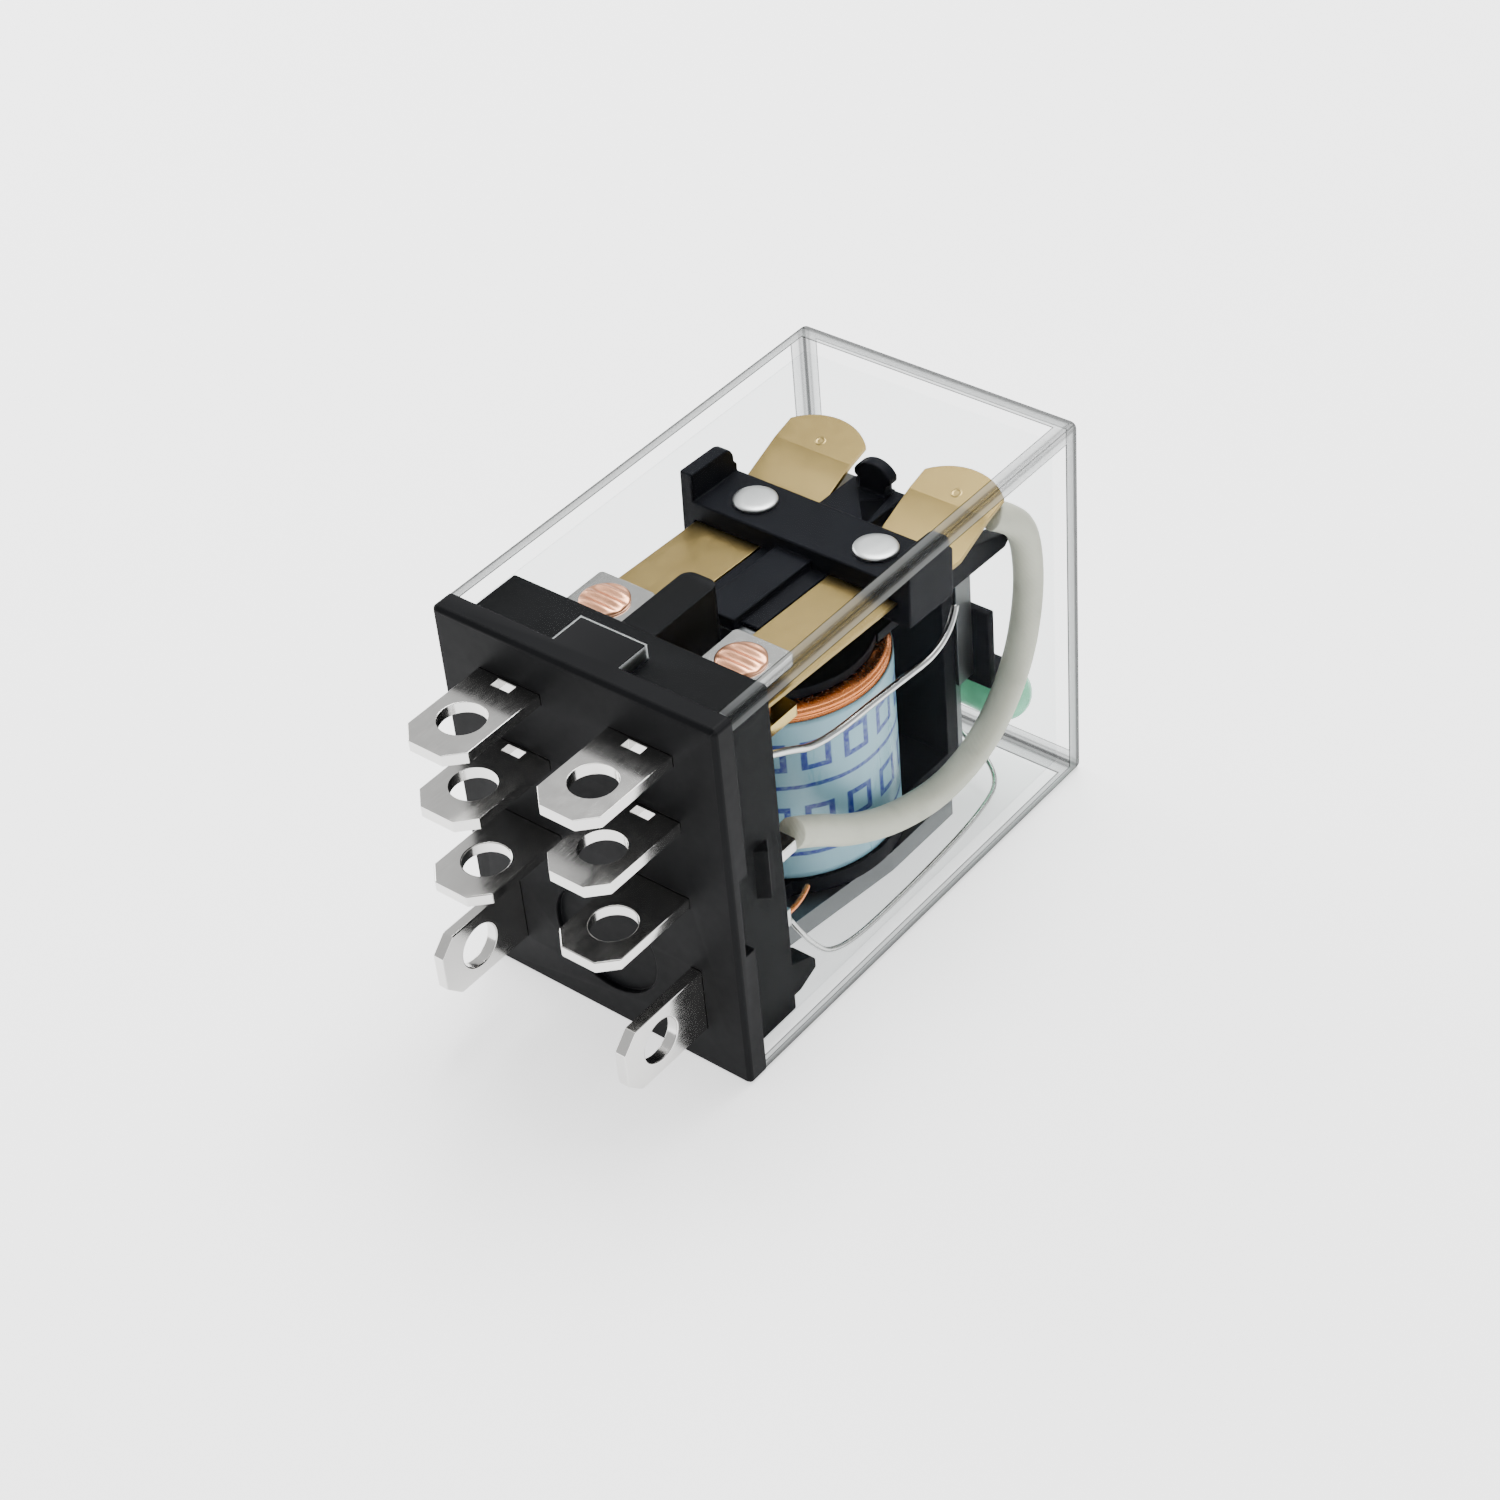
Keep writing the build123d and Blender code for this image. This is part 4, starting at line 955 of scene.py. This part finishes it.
@dataclass
class Coil:
    """Frame, core, bobbin, winding and tape."""

    y: float = 18.1
    floor: float = -9.4
    top: float = 4.3
    radius: float = 7.25
    tube: float = 3.75
    tape_radius: float = 7.45
    tape_top: float = 3.2
    turn_mm: float = 0.3
    edge_mm: float = 0.12

    def build(self) -> None:
        """Make the magnet."""
        plain = (("yoke", "magnet_frame", Finish.STEEL), ("core", "iron_core", Finish.STEEL),
                 ("bobbin", "bobbin_moulding", Finish.NYLON))
        for node, name, finish in plain:
            piece = eased_copy(node, name, finish.material, self.edge_mm, 2)
            settle(piece, Body.HOUSING, finish.slot, node)
        self.winding()
        self.tape()

    def winding(self) -> None:
        """Wind the copper.

        The outside is a stack of half-round turns: radius is the winding's
        less a dip that follows the absolute sine of height over pitch.
        """
        turns = int((self.top - self.floor - 0.2) / self.turn_mm)
        height = np.linspace(self.floor + 0.1, self.top - 0.1, turns * 6 + 1)
        dip = 0.09 * (1 - np.abs(np.sin(pi * (height - height[0]) / self.turn_mm)))
        fall = 0.55 * np.clip((height - (self.top - 0.6)) / 0.6, 0, 1) ** 2
        outside = np.stack([self.radius - 0.02 - dip - fall, height], axis=1)
        low, high = self.floor + 0.02, self.top - 0.02
        profile = np.concatenate([
            [[self.tube + 0.02, low], [self.radius - 0.3, low]], outside,
            [[self.radius - 1.0, high], [self.tube + 0.02, high], [self.tube + 0.02, low]]])
        mesh = turned("copper_winding", profile, (0, self.y, 0), "Z", 96)
        settle(show(mesh, Finish.WINDING.material), Body.HOUSING, Finish.WINDING.slot, "coil_winding")

    def tape(self) -> None:
        """Wrap the tape.

        The radius is the tape's, plus faint buckles that grow towards the
        middle height, less one step where the outer lap ends.
        """
        angle = np.linspace(0, 2 * pi, 192, endpoint=False)[None, :]
        height = np.linspace(self.floor + 0.02, self.tape_top, 30)[:, None]
        span = (height - self.floor) / (self.tape_top - self.floor)
        buckle = 0.025 * np.sin(3 * angle + 2.2 * span) * np.sin(5 * angle - 4 * span) * np.sin(pi * span)
        lap = 0.05 * np.clip((angle - 0.62 * pi) / 0.01, 0, 1) * np.clip((1.15 * pi - angle) / 0.01, 0, 1)
        radius = self.tape_radius - 0.06 + buckle + lap - 0.05
        outside = np.stack([radius * np.cos(angle), radius * np.sin(angle), height + 0 * angle], axis=-1)
        inner = self.radius + 0.005
        ring = np.stack([inner * np.cos(angle), inner * np.sin(angle), 0 * angle], axis=-1)
        inside = [ring + np.array([0, 0, level]) for level in (self.tape_top, self.floor + 0.02)]
        points = np.concatenate([outside, *inside, outside[:1]]) + np.array([0, self.y, 0])
        mesh = grid_mesh("winding_tape", points)
        settle(show(mesh, Finish.TAPE.material), Body.HOUSING, Finish.TAPE.slot, "coil_tape")


@dataclass
class MovingGroup:
    """Armature, carrier, contact springs, contacts and rivets."""

    hinge: Point = (0.0, 30.0, 6.35)
    tilt_deg: float = 2.4
    rivet_x: float = 4.7
    rivet_y: float = 22.65
    rivet_base: float = 3.3
    rivet_radius: float = 1.45
    shank_radius: float = 0.75
    contact_x: float = 5.25
    contact_y: float = 8.95
    spring_low: float = 1.6
    spring_thickness: float = 0.3
    pip_x: float = 5.35
    pip_y: float = 30.2
    pip_z: float = 3.55
    pip_lean_deg: float = 17.4
    edge_mm: float = 0.12
    spring_edge_mm: float = 0.05

    def tilted(self, x: float, y: float, z: float) -> Point:
        """Move a point of the level group to where it rests.

        Args:
            x: across.
            y: depth, as the group lies with the coil on.
            z: height over the hinge line.

        Returns:
            The point at rest.
        """
        turn = radians(self.tilt_deg)
        away = y - self.hinge[1]
        return (x, self.hinge[1] + away * cos(turn) + z * sin(turn),
                self.hinge[2] - away * sin(turn) + z * cos(turn))

    def build(self) -> None:
        """Make every moving piece."""
        plain = (("armature", "armature_plate", Finish.STEEL), ("carrier", "carrier_moulding", Finish.NYLON))
        for node, name, finish in plain:
            piece = eased_copy(node, name, finish.material, self.edge_mm, 2)
            settle(piece, Body.MOVING, finish.slot, node)
        for side in Side:
            node = f"contact_spring_{side.label}"
            spring = eased_copy(node, f"spring_blade_{side.label}", Finish.SPRING.material,
                                self.spring_edge_mm, 2)
            settle(spring, Body.MOVING, Finish.SPRING.slot, node)
            self.rivet(side)
            self.contact(side)
            self.pip(side)

    def stand(self, mesh: bpy.types.Mesh, foot: Point, lean_deg: float = 0.0) -> bpy.types.Mesh:
        """Tilt a turned piece with the group, or by more, and put its foot in place.

        Args:
            mesh: the piece, standing at the origin.
            foot: where its foot goes.
            lean_deg: turn about X on top of the group's tilt.

        Returns:
            The same mesh.
        """
        turn = Matrix.Rotation(radians(lean_deg - self.tilt_deg), 4, "X")
        mesh.transform(Matrix.Translation(Vector(foot) * MM) @ turn)
        return mesh

    def rivet(self, side: Side) -> None:
        """Make one silver rivet: a low dome with a soft rim on its shank.

        Args:
            side: left or right.
        """
        rise = np.linspace(0, pi / 2, 7)
        dome = np.stack([self.rivet_radius * np.cos(rise) ** 0.35, 0.2 + 0.16 * np.sin(rise)], axis=1)
        dome[-1, 0] = 0.0
        profile = np.concatenate([[[0, -3.2], [self.shank_radius, -3.2], [self.shank_radius, 0.0],
                                   [self.rivet_radius - 0.06, 0.0], [self.rivet_radius, 0.06]], dome])
        mesh = turned(f"rivet_{side.label}", profile, (0, 0, 0), "Z", 56)
        foot = self.tilted(side.value * self.rivet_x, self.rivet_y, self.rivet_base)
        piece = show(self.stand(mesh, foot), Finish.RIVET.material)
        settle(piece, Body.MOVING, Finish.RIVET.slot, f"spring_rivet_{side.label}")

    def pip(self, side: Side) -> None:
        """Make the small weld mark on one tongue: a ring round a shallow dome.

        Args:
            side: left or right.
        """
        reach = np.linspace(0.0, 1.0, 12)
        ring = 0.035 * np.exp(-((reach - 0.72) / 0.16) ** 2) + 0.02 * (1 - reach ** 2)
        top = np.stack([0.42 * reach, ring], axis=1)[::-1]
        profile = np.concatenate([[[0.0, -0.1], [0.42, -0.1]], top])
        mesh = turned(f"weld_pip_{side.label}", profile, (0, 0, 0), "Z", 32)
        foot = self.tilted(side.value * self.pip_x, self.pip_y, self.pip_z)
        piece = show(self.stand(mesh, foot, self.pip_lean_deg), Finish.SPRING.material)
        settle(piece, Body.MOVING, Finish.SPRING.slot)

    def contact(self, side: Side) -> None:
        """Make one double-faced moving contact with two low domes.

        Args:
            side: left or right.
        """
        top = self.spring_thickness
        profile = np.array([
            [0.0, -0.4], [0.7, -0.385], [1.2, -0.33], [1.42, -0.2], [1.45, 0.0],
            [self.shank_radius, 0.0], [self.shank_radius, top],
            [1.35, top], [1.33, top + 0.14], [1.1, top + 0.26], [0.6, top + 0.295], [0.0, top + 0.3]])
        mesh = turned(f"moving_contact_pad_{side.label}", profile, (0, 0, 0), "Z", 48)
        foot = self.tilted(side.value * self.contact_x, self.contact_y, self.spring_low)
        piece = show(self.stand(mesh, foot), Finish.SILVER.material)
        settle(piece, Body.MOVING, Finish.SILVER.slot, f"moving_contact_{side.label}")


@dataclass
class Wiring:
    """Sleeved leads, return spring, coil wires and the lamp with its resistor."""

    lead_x: float = 8.62
    sleeve: float = 2.0
    spring_wire: float = 0.5
    fine: float = 0.36
    led_y: float = 32.55
    led_z: float = -6.9
    led_radius: float = 1.85
    led_start: float = 3.1
    led_dome: float = 7.0
    resistor_start: float = -6.2
    resistor_length: float = 5.6
    resistor_radius: float = 1.1
    foot_gap: float = -12.6
    coil_z: float = -8.3

    def build(self) -> None:
        """Make every wire and the indicator."""
        for side in Side:
            self.lead(side)
            self.coil_wire(side)
            self.tail(side)
        self.return_spring()
        self.lamp()

    def lead(self, side: Side) -> None:
        """Lay one sleeved lead from its common blade to the spring's tongue.

        Args:
            side: left or right.
        """
        x = side.value * self.lead_x
        route = [(x, 8.15, -0.45), (x, 10.4, -1.8), (x, 13.6, -4.3), (x, 18.2, -6.7), (x, 23.6, -8.0),
                 (x, 28.4, -6.9), (x, 31.9, -3.4), (x, 33.35, 1.4), (x, 33.2, 5.6),
                 (side.value * 8.4, 32.4, 7.9), (side.value * 7.6, 30.9, 8.75)]
        piece = wire(f"sleeved_lead_{side.label}", route, self.sleeve, Finish.SLEEVE.material)
        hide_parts(f"lead_{side.label}")
        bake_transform(piece)
        LOG.info("%s bends between the bodies", piece.name)

    def coil_wire(self, side: Side) -> None:
        """Lay the winding's end to its blade.

        Args:
            side: left or right.
        """
        s = side.value
        route = [(s * 7.3, 8.6 + self.fine / 2, self.coil_z + 0.2), (s * 7.3, 10.0, self.coil_z + 0.1),
                 (s * 6.6, 11.6, self.coil_z - 0.1)]
        piece = wire(f"coil_end_{side.label}", route, self.fine, Finish.WINDING.material)
        settle(piece, Body.HOUSING, Finish.WINDING.slot, f"coil_wire_{side.label}")

    def tail(self, side: Side) -> None:
        """Lay the indicator's wire back to the coil blade.

        Args:
            side: left or right.
        """
        right = side is Side.RIGHT
        s = side.value
        start = (self.led_start - 0.01, self.led_y, self.led_z - 0.7) if right else (
            self.resistor_start, self.led_y, self.led_z)
        turn = (1.6, self.led_y, -9.2) if right else (-7.6, self.led_y, -8.2)
        route = [start, turn, (2.4 if right else -8.3, 32.4, -11.2), (s * 7.6, 31.2, self.foot_gap),
                 (s * 8.9, 27.0, self.foot_gap + 0.1), (s * 9.2, 18.0, self.foot_gap),
                 (s * 9.1, 11.0, self.foot_gap + 0.1), (s * 8.3, 9.3, -10.6),
                 (s * 7.3, 8.6 + self.fine / 2, self.coil_z - 0.35)]
        piece = wire(f"indicator_tail_{side.label}", route, self.fine, Finish.TIN_WIRE.material)
        settle(piece, Body.HOUSING, Finish.TIN_WIRE.slot, f"indicator_wire_{side.label}")

    def return_spring(self) -> None:
        """Lay the bent return spring."""
        x = self.lead_x
        route = [(x, 6.0, 7.0), (x, 8.2, 6.0), (x, 11.3, 4.1), (x, 18.4, 3.7), (x, 24.6, 3.1),
                 (x - 0.6, 26.2, 4.9)]
        piece = wire("return_spring_wire", route, self.spring_wire, Finish.WIRE.material)
        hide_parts("return_spring")
        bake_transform(piece)
        LOG.info("%s bends between the bodies", piece.name)

    def lamp(self) -> None:
        """Make the lamp, its resistor, their link and the clip."""
        dome = np.linspace(0, pi / 2, 10)
        r = self.led_radius
        cap = np.stack([r * np.cos(dome), self.led_dome + r * np.sin(dome)], axis=1)
        cap[-1, 0] = 0.0
        profile = np.concatenate([[[0, self.led_start], [r - 0.1, self.led_start],
                                   [r, self.led_start + 0.1],
                                   [r, self.led_start + 0.9], [r - 0.12, self.led_start + 1.05]], cap])
        mesh = turned("lamp_lens", profile, (0, self.led_y, self.led_z), "X", 56)
        settle(show(mesh, Finish.LENS.material), Body.HOUSING, Finish.LENS.slot, "led")
        along = np.linspace(0, 1, 41)
        swell = 0.82 + 0.17 * (np.abs(2 * along - 1) > 0.62)
        swell = np.convolve(np.pad(swell, 2, "edge"), np.ones(5) / 5, "valid")
        ends = np.sqrt(np.clip(1 - (2 * along - 1) ** 12, 0, 1))
        body = np.stack([self.resistor_radius * swell * ends,
                         self.resistor_start + self.resistor_length * along], axis=1)
        mesh = turned("resistor_body", body, (0, self.led_y, self.led_z), "X", 40)
        settle(show(mesh, Finish.RESISTOR.material), Body.HOUSING, Finish.RESISTOR.slot, "resistor")
        route = [(self.resistor_start + self.resistor_length, self.led_y, self.led_z),
                 (0.9, self.led_y, self.led_z + 0.1), (self.led_start, self.led_y, self.led_z + 0.6)]
        link = wire("indicator_jumper", route, self.fine, Finish.TIN_WIRE.material)
        settle(link, Body.HOUSING, Finish.TIN_WIRE.slot, "indicator_link")
        clip = eased_copy("lamp_clip", "lamp_holder", Finish.NYLON.material, 0.1, 2)
        settle(clip, Body.HOUSING, Finish.NYLON.slot, "lamp_clip")


@dataclass
class Studio:
    """Pale floor, soft light and the camera."""

    floor_z: float = -14.0
    floor_half: float = 900.0
    lens_mm: float = 75.02
    camera_at: Point = (100.975, -97.679, 123.656)
    camera_turn: tuple[float, float, float, float] = (0.86054167, 0.38784611, 0.17039336, 0.28285957)
    panels: tuple[tuple[str, Point, float, float], ...] = field(default_factory=lambda: (
        ("top_panel", (-40.0, 210.0, 430.0), 320.0, 4.2),
        ("left_panel", (-300.0, 40.0, 160.0), 160.0, 0.8),
    ))

    def build(self) -> None:
        """Make the floor, lamps, surroundings and camera."""
        self.floor()
        for name, at, size, power in self.panels:
            self.panel(name, at, size, power)
        self.surroundings()
        self.camera()

    def floor(self) -> None:
        """Lay a flat sheet of pale paper."""
        side = np.linspace(-self.floor_half, self.floor_half, 3)
        x, y = np.meshgrid(side, side)
        points = np.stack([x, y, np.full_like(x, self.floor_z - 0.01)], axis=-1)
        made = show(grid_mesh("paper_floor", points, closed_u=False), PalePaper("pale_paper").dress())

    def panel(self, name: str, at: Point, size: float, power: float) -> None:
        """Hang one square soft box aimed at the relay.

        Args:
            name: name of the lamp.
            at: its middle.
            size: side of the square.
            power: watts.
        """
        lamp = bpy.data.lights.new(name, "AREA")
        lamp.size = size * MM
        lamp.energy = power
        made = bpy.data.objects.new(name, lamp)
        bpy.context.collection.objects.link(made)
        made.location = Vector(at) * MM
        aim = Vector((0.0, 18.0, 0.0)) * MM - made.location
        made.rotation_euler = aim.to_track_quat("-Z", "Y").to_euler()

    def surroundings(self) -> None:
        """Fill the room with even white light."""
        world = bpy.data.worlds.new("white_room")
        world.use_nodes = True
        world.node_tree.nodes["Background"].inputs["Color"].default_value = (1.0, 1.0, 1.0, 1.0)
        world.node_tree.nodes["Background"].inputs["Strength"].default_value = 0.8
        bpy.context.scene.world = world

    def camera(self) -> None:
        """Set up the camera."""
        lens = bpy.data.cameras.new("camera")
        lens.lens = self.lens_mm
        lens.sensor_width = 36.0
        lens.clip_start = 0.01
        made = bpy.data.objects.new("camera", lens)
        bpy.context.collection.objects.link(made)
        made.matrix_world = (Matrix.Translation(Vector(self.camera_at) * MM)
                             @ Quaternion(self.camera_turn).to_matrix().to_4x4())
        bpy.context.scene.camera = made


def main() -> None:
    """Build the relay and its studio."""
    for assembly in (Shell(), Terminals(), Coil(), MovingGroup(), Wiring(), Studio()):
        assembly.build()
        LOG.info("%s done", type(assembly).__name__)


if __name__ == "__main__":
    logging.basicConfig(level=logging.INFO)
    main()
